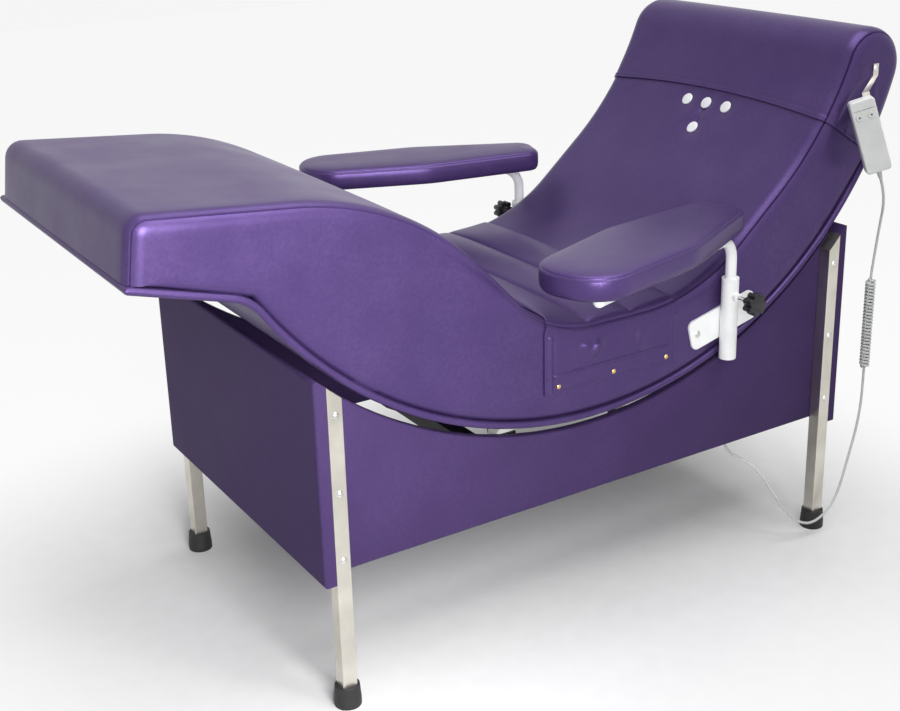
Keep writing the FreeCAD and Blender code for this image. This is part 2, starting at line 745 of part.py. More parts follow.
def leg_screws():
    screws = []
    for x, heights in ((LEG_FRONT_X, FRONT_SCREW_HEIGHTS), (LEG_REAR_X - LEG_SIZE, REAR_SCREW_HEIGHTS)):
        for z in heights:
            for side in (-1, 1):
                place = vec(x + LEG_SIZE / 2, side * LEG_OUTER, z)
                screws.append(dome(LEG_SCREW_RADIUS, LEG_SCREW_HEIGHT, place, Y_AXIS * side))
    return Part.makeCompound(screws)


# Cradle
def rail():
    path = [
        rock_arc(BOARD_RADIUS, RAIL_FRONT_ANGLE, RAIL_REAR_ANGLE),
        ("line", on_arc(BOARD_RADIUS, RAIL_REAR_ANGLE), on_arc(RAIL_RADIUS, RAIL_REAR_ANGLE)),
        rock_arc(RAIL_RADIUS, RAIL_REAR_ANGLE, RAIL_FRONT_ANGLE),
        ("line", on_arc(RAIL_RADIUS, RAIL_FRONT_ANGLE), on_arc(BOARD_RADIUS, RAIL_FRONT_ANGLE)),
    ]
    return extruded(path, upright(-RAIL_Y - RAIL_WIDTH / 2), Y_AXIS * RAIL_WIDTH)


def roller(angle):
    x, z = on_arc(ROLLER_ARC, angle)
    wheel = drum(ROLLER_RADIUS, ROLLER_WIDTH, x, -RAIL_Y - ROLLER_WIDTH / 2, z)
    bore = drum(AXLE_RADIUS + AXLE_CLEARANCE, ROLLER_WIDTH, x, -RAIL_Y - ROLLER_WIDTH / 2, z)
    return wheel.cut(bore)


def fork(angle):
    x, z = on_arc(ROLLER_ARC, angle)
    inside = ROLLER_WIDTH / 2 + FORK_SIDE_GAP
    outside = inside + FORK_CHEEK
    x0 = x - FORK_LENGTH / 2
    x1 = x + FORK_LENGTH / 2
    seat = z - FORK_RISE
    shape = box(x0, x1, -outside, outside, seat, z + FORK_SHOULDER)
    shape = shape.cut(box(x0, x1, -inside, inside, seat + FORK_CHEEK, z + FORK_SHOULDER))
    shape = shape.cut(drum(AXLE_RADIUS, 2 * outside, x, -outside, z))
    shape.translate(vec(0, -RAIL_Y, 0))
    return shape


def axle(angle):
    x, z = on_arc(ROLLER_ARC, angle)
    half = ROLLER_WIDTH / 2 + FORK_SIDE_GAP + FORK_CHEEK
    pin = drum(AXLE_RADIUS, 2 * half, x, -RAIL_Y - half, z)
    return pin.fuse(drum(AXLE_HEAD_RADIUS, AXLE_HEAD, x, -RAIL_Y + half, z)).removeSplitter()


def both_ends_and_sides(maker):
    left = [maker(ROLLER_FRONT_ANGLE), maker(ROLLER_REAR_ANGLE)]
    return Part.makeCompound(left + [mirrored(piece) for piece in left])


def beam(x, top):
    outer = box(x - BEAM_SIZE / 2, x + BEAM_SIZE / 2, -PANEL_INNER, PANEL_INNER, top - BEAM_SIZE, top)
    half = BEAM_SIZE / 2 - BEAM_WALL
    bore = box(x - half, x + half, -PANEL_INNER, PANEL_INNER, top - BEAM_SIZE + BEAM_WALL, top - BEAM_WALL)
    return outer.cut(bore)


def roller_beam(angle):
    x, z = on_arc(ROLLER_ARC, angle)
    return beam(x, z - FORK_RISE)


# Actuator: built along +X from its rear pin at the origin, then turned to face the couch's pin
COUCH_PIN = on_arc(BOARD_RADIUS + COUCH_PIN_DROP, COUCH_PIN_ANGLE)
ACTUATOR_REACH = math.hypot(COUCH_PIN[0] - ACTUATOR_X, COUCH_PIN[1] - ACTUATOR_Z)
ACTUATOR_ANGLE = math.degrees(math.atan2(COUCH_PIN[1] - ACTUATOR_Z, COUCH_PIN[0] - ACTUATOR_X))
ACTUATOR_BEAM_FACE = ACTUATOR_X + EYE_RADIUS + BEAM_SIZE / 2


def aimed(shape):
    shape.rotate(ORIGIN, Y_AXIS, -ACTUATOR_ANGLE)
    shape.translate(vec(ACTUATOR_X, 0, ACTUATOR_Z))
    return shape


def eye(start, end, axis_at):
    bar = box(start, end, -EYE_WIDTH / 2, EYE_WIDTH / 2, -EYE_RADIUS, EYE_RADIUS)
    return bar.fuse(drum(EYE_RADIUS, EYE_WIDTH, axis_at, -EYE_WIDTH / 2, 0))


def actuator_motor():
    block = box(
        GEARBOX_START, GEARBOX_START + GEARBOX_LENGTH,
        -GEARBOX_LEFT, MOTOR_OFFSET + MOTOR_RADIUS,
        -GEARBOX_HEIGHT / 2, GEARBOX_HEIGHT / 2,
    )
    motor_start = GEARBOX_START + GEARBOX_LENGTH
    motor = drum(MOTOR_RADIUS, MOTOR_LENGTH, motor_start, MOTOR_OFFSET, 0, X_AXIS)
    sleeve = drum(SLEEVE_RADIUS, SLEEVE_END - motor_start, motor_start, 0, 0, X_AXIS)
    bore = drum(SLEEVE_BORE, SLEEVE_END - GUIDE_LENGTH - motor_start, motor_start, 0, 0, X_AXIS)
    guide = drum(ROD_RADIUS + ROD_CLEARANCE, GUIDE_LENGTH, SLEEVE_END - GUIDE_LENGTH, 0, 0, X_AXIS)
    hole = drum(PIN_RADIUS + PIN_CLEARANCE, EYE_WIDTH, 0, -EYE_WIDTH / 2, 0)
    body = block.fuse([motor, sleeve, eye(0, GEARBOX_START, 0)]).removeSplitter()
    return aimed(body.cut(bore.fuse(guide)).cut(hole))


def actuator_rod():
    start = ACTUATOR_REACH - ROD_LENGTH
    rod = drum(ROD_RADIUS, ROD_LENGTH - EYE_RADIUS / 2, start, 0, 0, X_AXIS)
    pin_half = EYE_WIDTH / 2 + EAR_GAP + EAR_THICKNESS + AXLE_HEAD
    pin = drum(PIN_RADIUS, 2 * pin_half, ACTUATOR_REACH, -pin_half, 0)
    tip = drum(EYE_RADIUS, EYE_WIDTH, ACTUATOR_REACH, -EYE_WIDTH / 2, 0)
    return aimed(rod.fuse([tip, pin]).removeSplitter())


def ear_pair(make):
    inner = EYE_WIDTH / 2 + EAR_GAP
    return [make(-inner - EAR_THICKNESS), make(inner)]


def actuator_bracket():
    def cheek(y):
        tail = box(ACTUATOR_X, ACTUATOR_BEAM_FACE, 0, EAR_THICKNESS, -EYE_RADIUS, EYE_RADIUS)
        tail.translate(vec(0, y, ACTUATOR_Z))
        return tail.fuse(drum(EYE_RADIUS, EAR_THICKNESS, ACTUATOR_X, y, ACTUATOR_Z)).removeSplitter()
    ears = ear_pair(cheek)
    half = EYE_WIDTH / 2 + EAR_GAP + EAR_THICKNESS
    pin = drum(PIN_RADIUS, 2 * half, ACTUATOR_X, -half, ACTUATOR_Z)
    return ears[0].fuse([ears[1], pin]).removeSplitter()


def couch_clevis():
    """Two slotted ears below a saddle that is curved to the board; built upright, then swung to its angle."""
    half = EYE_WIDTH / 2 + EAR_GAP + EAR_THICKNESS
    seat = -BOARD_RADIUS
    pin = seat - COUCH_PIN_DROP
    sag = BOARD_RADIUS - math.sqrt(BOARD_RADIUS ** 2 - (CLEVIS_LENGTH / 2) ** 2)
    saddle = box(-CLEVIS_LENGTH / 2, CLEVIS_LENGTH / 2, -half, half, seat - CLEVIS_PLATE, seat + sag)
    saddle = saddle.cut(drum(BOARD_RADIUS, 2 * half, 0, -half, 0))
    ear_radius = PIN_RADIUS + SLOT_EASE + EAR_THICKNESS
    slot_radius = PIN_RADIUS + SLOT_EASE

    def cheek(y):
        plate = box(-ear_radius, ear_radius, y, y + EAR_THICKNESS, pin - SLOT_OUTWARD, seat - CLEVIS_PLATE)
        plate = plate.fuse(drum(ear_radius, EAR_THICKNESS, 0, y, pin - SLOT_OUTWARD))
        slot = box(-slot_radius, slot_radius, y, y + EAR_THICKNESS, pin - SLOT_OUTWARD, pin + SLOT_INWARD)
        for z in (pin - SLOT_OUTWARD, pin + SLOT_INWARD):
            slot = slot.fuse(drum(slot_radius, EAR_THICKNESS, 0, y, z))
        return plate.cut(slot)
    clevis = saddle.fuse(ear_pair(cheek)).removeSplitter()
    clevis.rotate(ORIGIN, Y_AXIS, -COUCH_PIN_ANGLE)
    clevis.translate(vec(ROCK_X, 0, ROCK_Z))
    return clevis


# Control box and gland
GLAND_Y = GLAND_FROM_PANEL - PANEL_INNER


def control_box():
    case = box(
        BOX_X - BOX_LENGTH / 2, BOX_X + BOX_LENGTH / 2,
        -PANEL_INNER, BOX_DEPTH - PANEL_INNER,
        BOX_BOTTOM, BOX_BOTTOM + BOX_HEIGHT,
    )
    return case.makeFillet(BOX_FILLET, edges_at(case, Y_AXIS, BOX_DEPTH - PANEL_INNER))


def cord_gland():
    top = vec(BOX_X, GLAND_Y, BOX_BOTTOM)
    return Part.makeCone(GLAND_RADIUS, GLAND_TIP_RADIUS, GLAND_LENGTH, top, Z_AXIS * -1)


# Armrest
def arm_bracket():
    corners = [(-PLATE_LENGTH / 2, -PLATE_HEIGHT / 2), (PLATE_LENGTH / 2, -PLATE_HEIGHT / 2)]
    corners += [(PLATE_LENGTH / 2, PLATE_HEIGHT / 2), (-PLATE_LENGTH / 2, PLATE_HEIGHT / 2)]
    path = rounded(corners, (PLATE_CORNER,) * 4, closed=True)
    plate = extruded(path, upright(-HALF - PLATE_THICKNESS), Y_AXIS * PLATE_THICKNESS)
    plate.rotate(ORIGIN, Y_AXIS, -PLATE_ANGLE)
    plate.translate(vec(SOCKET_X, 0, PLATE_CENTRE_Z))
    length = SOCKET_TOP - SOCKET_BOTTOM
    socket = drum(SOCKET_RADIUS, length, SOCKET_X, -SOCKET_Y, SOCKET_BOTTOM, Z_AXIS)
    boss_end = SOCKET_Y + SOCKET_RADIUS + STUD_BOSS_LENGTH
    boss = drum(STUD_BOSS_RADIUS, boss_end - SOCKET_Y, SOCKET_X, -boss_end, CLAMP_Z)
    bore = drum(POST_RADIUS + POST_CLEARANCE, length, SOCKET_X, -SOCKET_Y, SOCKET_BOTTOM, Z_AXIS)
    thread = drum(CLAMP_STUD_RADIUS + CLAMP_STUD_CLEARANCE, boss_end - SOCKET_Y, SOCKET_X, -boss_end, CLAMP_Z)
    return plate.fuse([socket, boss]).removeSplitter().cut(bore).cut(thread)


def fixing_screws():
    screws = []
    for along in (PLATE_SCREW_INSET - PLATE_LENGTH / 2, PLATE_LENGTH / 2 - PLATE_SCREW_INSET):
        spot = plus((SOCKET_X, PLATE_CENTRE_Z), turned(PLATE_ANGLE), along)
        place = vec(spot[0], -HALF - PLATE_THICKNESS, spot[1])
        screws.append(dome(SCREW_RADIUS, SCREW_HEIGHT, place, Y_AXIS * -1))
    screws += [mirrored(screw) for screw in screws]
    hook_face = vec(HOOK_X, -HALF - COVER_EASE - COVER_CLOTH - HOOK_THICKNESS, HOOK_Z)
    screws.append(dome(HOOK_SCREW_RADIUS, SCREW_HEIGHT, hook_face, Y_AXIS * -1))
    return Part.makeCompound(screws)


def in_arm(shape):
    """From the armrest's own axes, +X forward along the pad from the post, to its place on the left side."""
    shape.rotate(ORIGIN, Z_AXIS, 180 + ARM_SPLAY)
    shape.translate(vec(SOCKET_X, -SOCKET_Y, 0))
    return shape


def arm_post():
    bend = POST_RUN_Z - POST_BEND_RADIUS
    corner = plus((POST_BEND_RADIUS, bend), turned(135), POST_BEND_RADIUS)
    path = [
        ("line", (0.0, POST_BOTTOM), (0.0, bend)),
        ("arc", (0.0, bend), corner, (POST_BEND_RADIUS, POST_RUN_Z)),
        ("line", (POST_BEND_RADIUS, POST_RUN_Z), (POST_REACH, POST_RUN_Z)),
    ]
    spine = wire(path, upright(0))
    ring = [Part.Wire([Part.Circle(vec(0, 0, POST_BOTTOM), Z_AXIS, r).toShape()])
            for r in (POST_RADIUS, POST_RADIUS - POST_WALL)]
    outer, inner = [spine.makePipeShell([r], True, False) for r in ring]
    tip = Part.makeSphere(POST_RADIUS, vec(POST_REACH, 0, POST_RUN_Z))
    ahead = box(POST_REACH, POST_REACH + POST_RADIUS, -POST_RADIUS, POST_RADIUS, 0, PAD_BOTTOM)
    return in_arm(outer.cut(inner).fuse(tip.common(ahead)))


def arm_plug():
    seat = POST_BOTTOM - POST_CLEARANCE
    shank_radius = POST_RADIUS - POST_WALL - POST_CLEARANCE
    shank = drum(shank_radius, PLUG_LENGTH, SOCKET_X, -SOCKET_Y, seat, Z_AXIS)
    flange = drum(POST_RADIUS, PLUG_FLANGE, SOCKET_X, -SOCKET_Y, seat - PLUG_FLANGE, Z_AXIS)
    return shank.fuse(flange).removeSplitter()


def pad_path(inset):
    front = PAD_FRONT - inset
    rear = inset - PAD_REAR
    corners = [(rear, PAD_REAR_HALF_WIDTH - inset), (PAD_WIDEST, PAD_HALF_WIDTH - inset)]
    corners += [(front, PAD_FRONT_HALF_WIDTH - inset)]
    corners += [(x, -y) for x, y in reversed(corners)]
    radii = [PAD_REAR_RADIUS - inset, PAD_WIDEST_RADIUS - inset, PAD_FRONT_RADIUS - inset]
    return rounded([(x, y - PAD_OFFSET) for x, y in corners], radii + radii[::-1], closed=True)


def arm_pad():
    """Sections from the seat of the pad up: drawn-in foot, band, seam and two rings of crown."""
    rings = (
        (PAD_FOOT_INSET, PAD_BOTTOM),
        (0.0, PAD_BOTTOM + PAD_SWELL_START),
        (0.0, PAD_BOTTOM + PAD_SWELL_END),
        (PAD_SEAM_INSET, PAD_SEAM),
        (PAD_SHOULDER_INSET, PAD_SEAM + PAD_SHOULDER_RISE),
        (PAD_TOP_INSET, PAD_SEAM + PAD_CROWN),
    )
    return in_arm(Part.makeLoft([wire(pad_path(inset), level(z)) for inset, z in rings], True, True))


def arm_plate():
    path = pad_path(ARM_PLATE_INSET)
    return in_arm(extruded(path, level(ARM_PLATE_BOTTOM), Z_AXIS * ARM_PLATE_THICKNESS))


# Clamp knob, along -Y from the socket on the left side
CLAMP_TIP_Y = SOCKET_Y + POST_RADIUS + CLAMP_TIP_GAP
CLAMP_HUB_Y = SOCKET_Y + SOCKET_RADIUS + STUD_BOSS_LENGTH + CLAMP_STUD_SHOWN
KNOB_FACE_Y = CLAMP_HUB_Y + KNOB_HUB_LENGTH + KNOB_THICKNESS
STUD_END_Y = CLAMP_HUB_Y + KNOB_HUB_LENGTH + KNOB_THICKNESS / 2


def clamp_stud():
    return drum(CLAMP_STUD_RADIUS, STUD_END_Y - CLAMP_TIP_Y, SOCKET_X, -STUD_END_Y, CLAMP_Z)


def clamp_knob():
    core_radius = KNOB_RADIUS - KNOB_LOBE_RADIUS
    hub = drum(KNOB_HUB_RADIUS, KNOB_HUB_LENGTH, SOCKET_X, KNOB_THICKNESS - KNOB_FACE_Y, CLAMP_Z)
    core = drum(core_radius, KNOB_THICKNESS, SOCKET_X, -KNOB_FACE_Y, CLAMP_Z)
    lobes = []
    for i in range(KNOB_LOBES):
        spot = plus((SOCKET_X, CLAMP_Z), turned(360 * i / KNOB_LOBES), core_radius)
        lobes.append(drum(KNOB_LOBE_RADIUS, KNOB_THICKNESS, spot[0], -KNOB_FACE_Y, spot[1]))
    bore = drum(CLAMP_STUD_RADIUS, STUD_END_Y - CLAMP_HUB_Y, SOCKET_X, -STUD_END_Y, CLAMP_Z)
    return core.fuse(lobes + [hub]).removeSplitter().cut(bore)


# Handset: built upright with its face to -Y, leaned sideways, then turned towards the foot of the couch
HANDSET_PLACE = vec(HOOK_X - HANDSET_AHEAD_OF_HOOK, -HALF - HANDSET_FROM_COUCH, HOOK_Z - HANDSET_BELOW_HOOK)


def in_handset(shape):
    shape.rotate(ORIGIN, Y_AXIS, HANDSET_LEAN)
    shape.rotate(ORIGIN, Z_AXIS, HANDSET_YAW)
    shape.translate(HANDSET_PLACE)
    return shape


FACE_Y = -HANDSET_THICKNESS / 2
BUTTON_Z = HANDSET_LENGTH / 2 - BUTTON_FROM_TOP


def handset_case():
    half = HANDSET_WIDTH / 2
    tall = HANDSET_LENGTH / 2
    corners = [(-half, -tall), (half, -tall), (half, tall), (-half, tall)]
    path = rounded(corners, (HANDSET_CORNER,) * 4, closed=True)
    case = extruded(path, upright(FACE_Y), Y_AXIS * HANDSET_THICKNESS)
    case = case.makeFillet(HANDSET_EDGE, edges_at(case, Y_AXIS, FACE_Y) + edges_at(case, Y_AXIS, -FACE_Y))
    for side in (-1, 1):
        x = side * BUTTON_PITCH / 2
        case = case.cut(drum(BUTTON_RADIUS + BUTTON_EASE, BUTTON_POCKET, x, FACE_Y, BUTTON_Z))
    return in_handset(case)


def handset_button(side):
    depth = BUTTON_PROUD + BUTTON_POCKET - BUTTON_TRAVEL - BUTTON_EASE
    x = side * BUTTON_PITCH / 2
    cap = drum(BUTTON_RADIUS, depth, x, FACE_Y - BUTTON_PROUD, BUTTON_Z)
    return in_handset(cap.makeFillet(BUTTON_PROUD / 2, edges_at(cap, Y_AXIS, FACE_Y - BUTTON_PROUD)))


def handset_boot():
    top = vec(0, 0, -HANDSET_LENGTH / 2)
    return in_handset(Part.makeCone(BOOT_RADIUS, BOOT_TIP_RADIUS, BOOT_LENGTH, top, Z_AXIS * -1))


def handset_spot(x, y, z):
    return in_handset(Part.Vertex(x, y, z)).Point


def handset_hook():
    """A flat strip: a flange under its screw, a run out from the couch and a flange behind the handset."""
    face = HALF + COVER_EASE + COVER_CLOTH
    half = HOOK_WIDTH / 2
    flange = box(-half, half, -face - HOOK_THICKNESS, -face, -HOOK_BELOW_SCREW, HOOK_ABOVE_SCREW)
    flange.translate(vec(HOOK_X, 0, HOOK_Z))
    seat = HANDSET_THICKNESS / 2 + HOOK_SEAT_GAP
    reach = HANDSET_LENGTH / 2
    grip = box(-half, half, seat, seat + HOOK_THICKNESS, reach - HOOK_GRIP, reach + HOOK_STAND)
    grip.translate(vec(HOOK_SIDE, 0, 0))
    grip = in_handset(grip)
    low = HOOK_Z - HOOK_BELOW_SCREW
    start = [vec(HOOK_X + sx * half, -face - HOOK_THICKNESS * (sy > 0), low) for sx, sy in STRIP_CORNERS]
    end = [handset_spot(HOOK_SIDE + sx * half, seat + HOOK_THICKNESS * (sy < 0), reach + HOOK_STAND)
           for sx, sy in STRIP_CORNERS]
    run = Part.makeLoft([Part.makePolygon(ring + ring[:1]) for ring in (start, end)], True, True)
    return flange.fuse([run, grip]).removeSplitter()


# Cord
def biarc(p, t, q, u):
    """Two arcs that leave p along t and reach q along u."""
    chord = q - p
    both = t + u
    k = 2 * (1 - t.dot(u))
    reach = (-chord.dot(both) + math.sqrt(chord.dot(both) ** 2 + k * chord.dot(chord))) / k
    joint = (p + q + (t - u) * reach) * 0.5
    return [arc_from(p, t, joint), arc_from(q, u * -1, joint)]


def arc_from(p, t, q):
    chord = q - p
    aside = t - chord * (t.dot(chord) / chord.dot(chord))
    half = math.acos(max(-1.0, min(1.0, t.dot(chord) / chord.Length))) / 2
    middle = p + chord * 0.5 + aside * (chord.Length / 2 * math.tan(half) / aside.Length)
    return Part.Arc(p, middle, q).toShape()


def curl_point(turn):
    """The curl leaves the cord's own line over the first turn and comes back to it over the last."""
    ease = max(0.0, min(1.0, turn, CURL_TURNS - turn))
    radius = CURL_RADIUS * ease * ease * (3 - 2 * ease)
    a = 2 * math.pi * turn
    drop = (CURL_TOP - CURL_BOTTOM - 2 * CURL_LEAD) * turn / CURL_TURNS
    return vec(CURL_X + radius * math.cos(a), CURL_Y + radius * math.sin(a), CURL_TOP - CURL_LEAD - drop)


def curl_tangent(turn):
    step = 1e-4
    away = curl_point(min(turn + step, CURL_TURNS)) - curl_point(max(turn - step, 0.0))
    return away.normalize()


def cord_ring(place, axis):
    return Part.Wire([Part.Circle(place, axis, CORD_RADIUS).toShape()])


def cord_curl():
    quarters = [i / 4 for i in range(4 * CURL_TURNS + 1)]
    made = [Part.LineSegment(vec(CURL_X, CURL_Y, CURL_TOP), curl_point(0)).toShape()]
    for a, b in zip(quarters, quarters[1:]):
        made += biarc(curl_point(a), curl_tangent(a), curl_point(b), curl_tangent(b))
    made.append(Part.LineSegment(curl_point(CURL_TURNS), vec(CURL_X, CURL_Y, CURL_BOTTOM)).toShape())
    spine = Part.Wire(Part.__sortEdges__(made))
    samples = [curl_point(i / CURL_SAMPLES) for i in range(CURL_SAMPLES * CURL_TURNS + 1)]
    pairs = ((p, q) for i, p in enumerate(samples) for q in samples[i + CURL_SAMPLES_SKIPPED:])
    gap = min((p - q).Length for p, q in pairs) - 2 * CORD_RADIUS
    print("curl: least gap to itself", round(gap, 2), "mm, length", round(spine.Length), "mm")
    return spine.makePipeShell([cord_ring(vec(CURL_X, CURL_Y, CURL_TOP), Z_AXIS * -1)], True, False)


def cord_tube(points, label):
    """Straight runs joined by tangent arcs that use the same share of the shorter run."""
    made = []
    start = points[0]
    radii = []
    for a, b, c in zip(points, points[1:], points[2:]):
        back = (a - b).normalize()
        on = (c - b).normalize()
        reach = CORD_BEND_SHARE * min((a - b).Length, (c - b).Length)
        half = math.acos(max(-1.0, min(1.0, back.dot(on)))) / 2
        radii.append(reach * math.tan(half))
        halfway = (back + on).normalize()
        centre = b + halfway * (reach / math.cos(half))
        made.append(Part.LineSegment(start, b + back * reach).toShape())
        made.append(Part.Arc(b + back * reach, centre - halfway * radii[-1], b + on * reach).toShape())
        start = b + on * reach
    made.append(Part.LineSegment(start, points[-1]).toShape())
    spine = Part.Wire(made)
    tube = spine.makePipeShell([cord_ring(points[0], points[1] - points[0])], True, False)
    section = math.pi * CORD_RADIUS ** 2
    print(label, "bend radii", [round(r) for r in radii], "length", round(spine.Length),
          "volume share", round(tube.Volume / (section * spine.Length), 3))
    return tube


def cord_upper():
    boot_end = -HANDSET_LENGTH / 2 - BOOT_LENGTH
    leads = [handset_spot(0, 0, boot_end), handset_spot(0, 0, boot_end - CORD_LEAD)]
    points = leads + [vec(*p) for p in UPPER_CORD_POINTS] + [vec(CURL_X, CURL_Y, CURL_TOP)]
    return cord_tube(points, "upper cord")


def cord_lower():
    gland_end = BOX_BOTTOM - GLAND_LENGTH
    leads = [vec(BOX_X, GLAND_Y, gland_end - CORD_LEAD), vec(BOX_X, GLAND_Y, gland_end)]
    points = [vec(CURL_X, CURL_Y, CURL_BOTTOM)] + [vec(*p) for p in LOWER_CORD_POINTS] + leads
    return cord_tube(points, "lower cord")


# Write every piece
os.makedirs("parts", exist_ok=True)
write("couch_board", couch_board())
write("mattress", mattress())
write("head_cover", head_cover())
write("seat_cover", seat_cover())
write("cover_studs", cover_studs())
write("back_buttons", back_buttons())
write("front_panel", end_panel(LEG_FRONT_X - END_PANEL_THICKNESS, LEG_FRONT_X - END_PANEL_THICKNESS))
write("rear_panel", end_panel(LEG_REAR_X, LEG_REAR_X + END_PANEL_THICKNESS))
on_both_sides("side_panel", side_panel())
on_both_sides("leg_front", leg(LEG_FRONT_X))
on_both_sides("leg_rear", leg(LEG_REAR_X - LEG_SIZE))
on_both_sides("foot_front", rubber_foot(LEG_FRONT_X))
on_both_sides("foot_rear", rubber_foot(LEG_REAR_X - LEG_SIZE))
write("leg_screws", leg_screws())
on_both_sides("rail", rail())
on_both_sides("roller_front", roller(ROLLER_FRONT_ANGLE))
on_both_sides("roller_rear", roller(ROLLER_REAR_ANGLE))
write("roller_forks", both_ends_and_sides(fork))
write("roller_axles", both_ends_and_sides(axle))
write("roller_beam_front", roller_beam(ROLLER_FRONT_ANGLE))
write("roller_beam_rear", roller_beam(ROLLER_REAR_ANGLE))
write("actuator_beam", beam(ACTUATOR_BEAM_FACE + BEAM_SIZE / 2, ACTUATOR_Z + BEAM_SIZE / 2))
write("actuator_bracket", actuator_bracket())
write("actuator_motor", actuator_motor())
write("actuator_rod", actuator_rod())
write("couch_clevis", couch_clevis())
write("control_box", control_box())
write("cord_gland", cord_gland())
on_both_sides("arm_bracket", arm_bracket())
write("fixing_screws", fixing_screws())
on_both_sides("arm_post", arm_post())
on_both_sides("arm_plug", arm_plug())
on_both_sides("arm_plate", arm_plate())
on_both_sides("arm_pad", arm_pad())
on_both_sides("clamp_stud", clamp_stud())
on_both_sides("clamp_knob", clamp_knob())
write("handset_case", handset_case())
write("handset_button_up", handset_button(-1))
write("handset_button_down", handset_button(1))
write("handset_boot", handset_boot())
write("handset_hook", handset_hook())
write("cord_upper", cord_upper())
write("cord_curl", cord_curl())
write("cord_lower", cord_lower())
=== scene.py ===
# %% [markdown]
# # A blood donor couch in sewn vinyl
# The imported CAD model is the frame: it fixes the sizes, the joints and what moves with what.
# This lesson dresses it. Each cushion, cover, panel and cord is modelled in place over its CAD
# node, so nothing has to be fitted afterwards.

# %% Load the frame
import json
from math import acos, asin, atan2, copysign, cos, degrees, exp, hypot, pi, radians, sin, sqrt, tan

import bpy
import numpy as np
from mathutils import Matrix, Quaternion, Vector
from numpy.linalg import norm


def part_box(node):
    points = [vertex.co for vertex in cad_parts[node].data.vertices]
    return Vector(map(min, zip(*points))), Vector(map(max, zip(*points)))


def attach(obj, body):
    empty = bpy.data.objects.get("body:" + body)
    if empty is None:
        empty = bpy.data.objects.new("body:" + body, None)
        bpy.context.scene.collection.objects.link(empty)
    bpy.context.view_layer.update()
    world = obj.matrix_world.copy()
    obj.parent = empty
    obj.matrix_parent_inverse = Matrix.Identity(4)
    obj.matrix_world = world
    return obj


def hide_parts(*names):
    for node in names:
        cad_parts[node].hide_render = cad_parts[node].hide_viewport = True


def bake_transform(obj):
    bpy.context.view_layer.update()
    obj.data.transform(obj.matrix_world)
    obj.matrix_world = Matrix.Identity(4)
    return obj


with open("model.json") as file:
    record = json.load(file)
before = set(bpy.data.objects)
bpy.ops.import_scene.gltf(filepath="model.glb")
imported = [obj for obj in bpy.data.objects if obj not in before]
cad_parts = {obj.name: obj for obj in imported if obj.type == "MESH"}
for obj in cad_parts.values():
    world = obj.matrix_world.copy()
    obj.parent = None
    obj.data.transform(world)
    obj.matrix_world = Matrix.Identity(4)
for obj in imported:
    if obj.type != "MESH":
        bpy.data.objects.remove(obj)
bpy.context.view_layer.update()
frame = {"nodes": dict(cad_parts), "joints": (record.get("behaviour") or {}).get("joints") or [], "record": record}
nodes = frame["nodes"]
bodies = frame["record"]["behaviour"]["bodies"]
node_body = {node: body for body, members in bodies.items() for node in members}

# %% [markdown]
# ## The camera
# The photograph was taken from the foot end, a little above the couch. A level camera is aimed by
# its heading and pitch, then rolled slightly. The lens shift moves the picture's middle below the
# point that the camera is aimed at.


# %% Camera
def placed(name, data):
    """A new object in the scene."""
    made = bpy.data.objects.new(name, data)
    bpy.context.scene.collection.objects.link(made)
    return made


PHOTO_WIDTH = 900
FOCAL_PIXELS = 1376.9
AIM_ABOVE_MIDDLE_PIXELS = 55.5
CAMERA_PLACE = Vector((-1.2732, -1.9787, 1.3167))
HEADING = radians(31.69)
PITCH = radians(19.12)
ROLL = radians(-1.54)

camera = placed("camera", bpy.data.cameras.new("camera"))
camera.data.sensor_width = 36.0
camera.data.lens = FOCAL_PIXELS / PHOTO_WIDTH * camera.data.sensor_width
camera.data.shift_y = -AIM_ABOVE_MIDDLE_PIXELS / PHOTO_WIDTH
level_aim = Vector((sin(HEADING), cos(HEADING), 0.0))
aim = level_aim * cos(PITCH) - Vector((0, 0, sin(PITCH)))
camera.location = CAMERA_PLACE
camera.rotation_mode = "QUATERNION"
camera.rotation_quaternion = aim.to_track_quat("-Z", "Y") @ Quaternion((0, 0, 1), ROLL)
bpy.context.scene.camera = camera
print("lens", round(camera.data.lens, 1), "mm")

# %% [markdown]
# ## Nodes and colours
# Every finish is a small shader tree. One helper adds a node with its settings and links, and one
# turns the hex colours of a paint chart into the linear values that the shader wants.


# %% Shader helpers
def linear(hex_colour):
    """A hex sRGB colour as linear RGBA."""
    channels = [int(hex_colour[i:i + 2], 16) / 255 for i in (1, 3, 5)]
    return [c / 12.92 if c <= 0.04045 else ((c + 0.055) / 1.055) ** 2.4 for c in channels] + [1.0]


def add_node(tree, kind, links=None, values=None, **settings):
    made = tree.nodes.new(kind)
    for name, value in settings.items():
        setattr(made, name, value)
    for socket, value in (values or {}).items():
        made.inputs[socket].default_value = value
    for socket, source in (links or {}).items():
        tree.links.new(source, made.inputs[socket])
    return made


def new_material(name, **values):
    """A material with its Principled shader, whose constant sockets are set by name."""
    material = bpy.data.materials.new(name)
    material.use_nodes = True
    shader = material.node_tree.nodes["Principled BSDF"]
    for socket, value in values.items():
        shader.inputs[socket.replace("_", " ")].default_value = value
    return material, material.node_tree, shader


def object_coords(tree):
    return add_node(tree, "ShaderNodeTexCoord").outputs["Object"]


def noise(tree, place, size, detail):
    """Smooth noise whose patches have one size, in metres."""
    links, values = {"Vector": place}, {"Scale": 1 / size, "Detail": detail}
    return add_node(tree, "ShaderNodeTexNoise", links, values).outputs["Fac"]


def bumped(tree, height, strength, depth, under=None):
    """A surface raised by a height, over another bump if there is one under it."""
    links = {"Height": height, "Normal": under} if under else {"Height": height}
    values = {"Strength": strength, "Distance": depth}
    return add_node(tree, "ShaderNodeBump", links, values).outputs["Normal"]


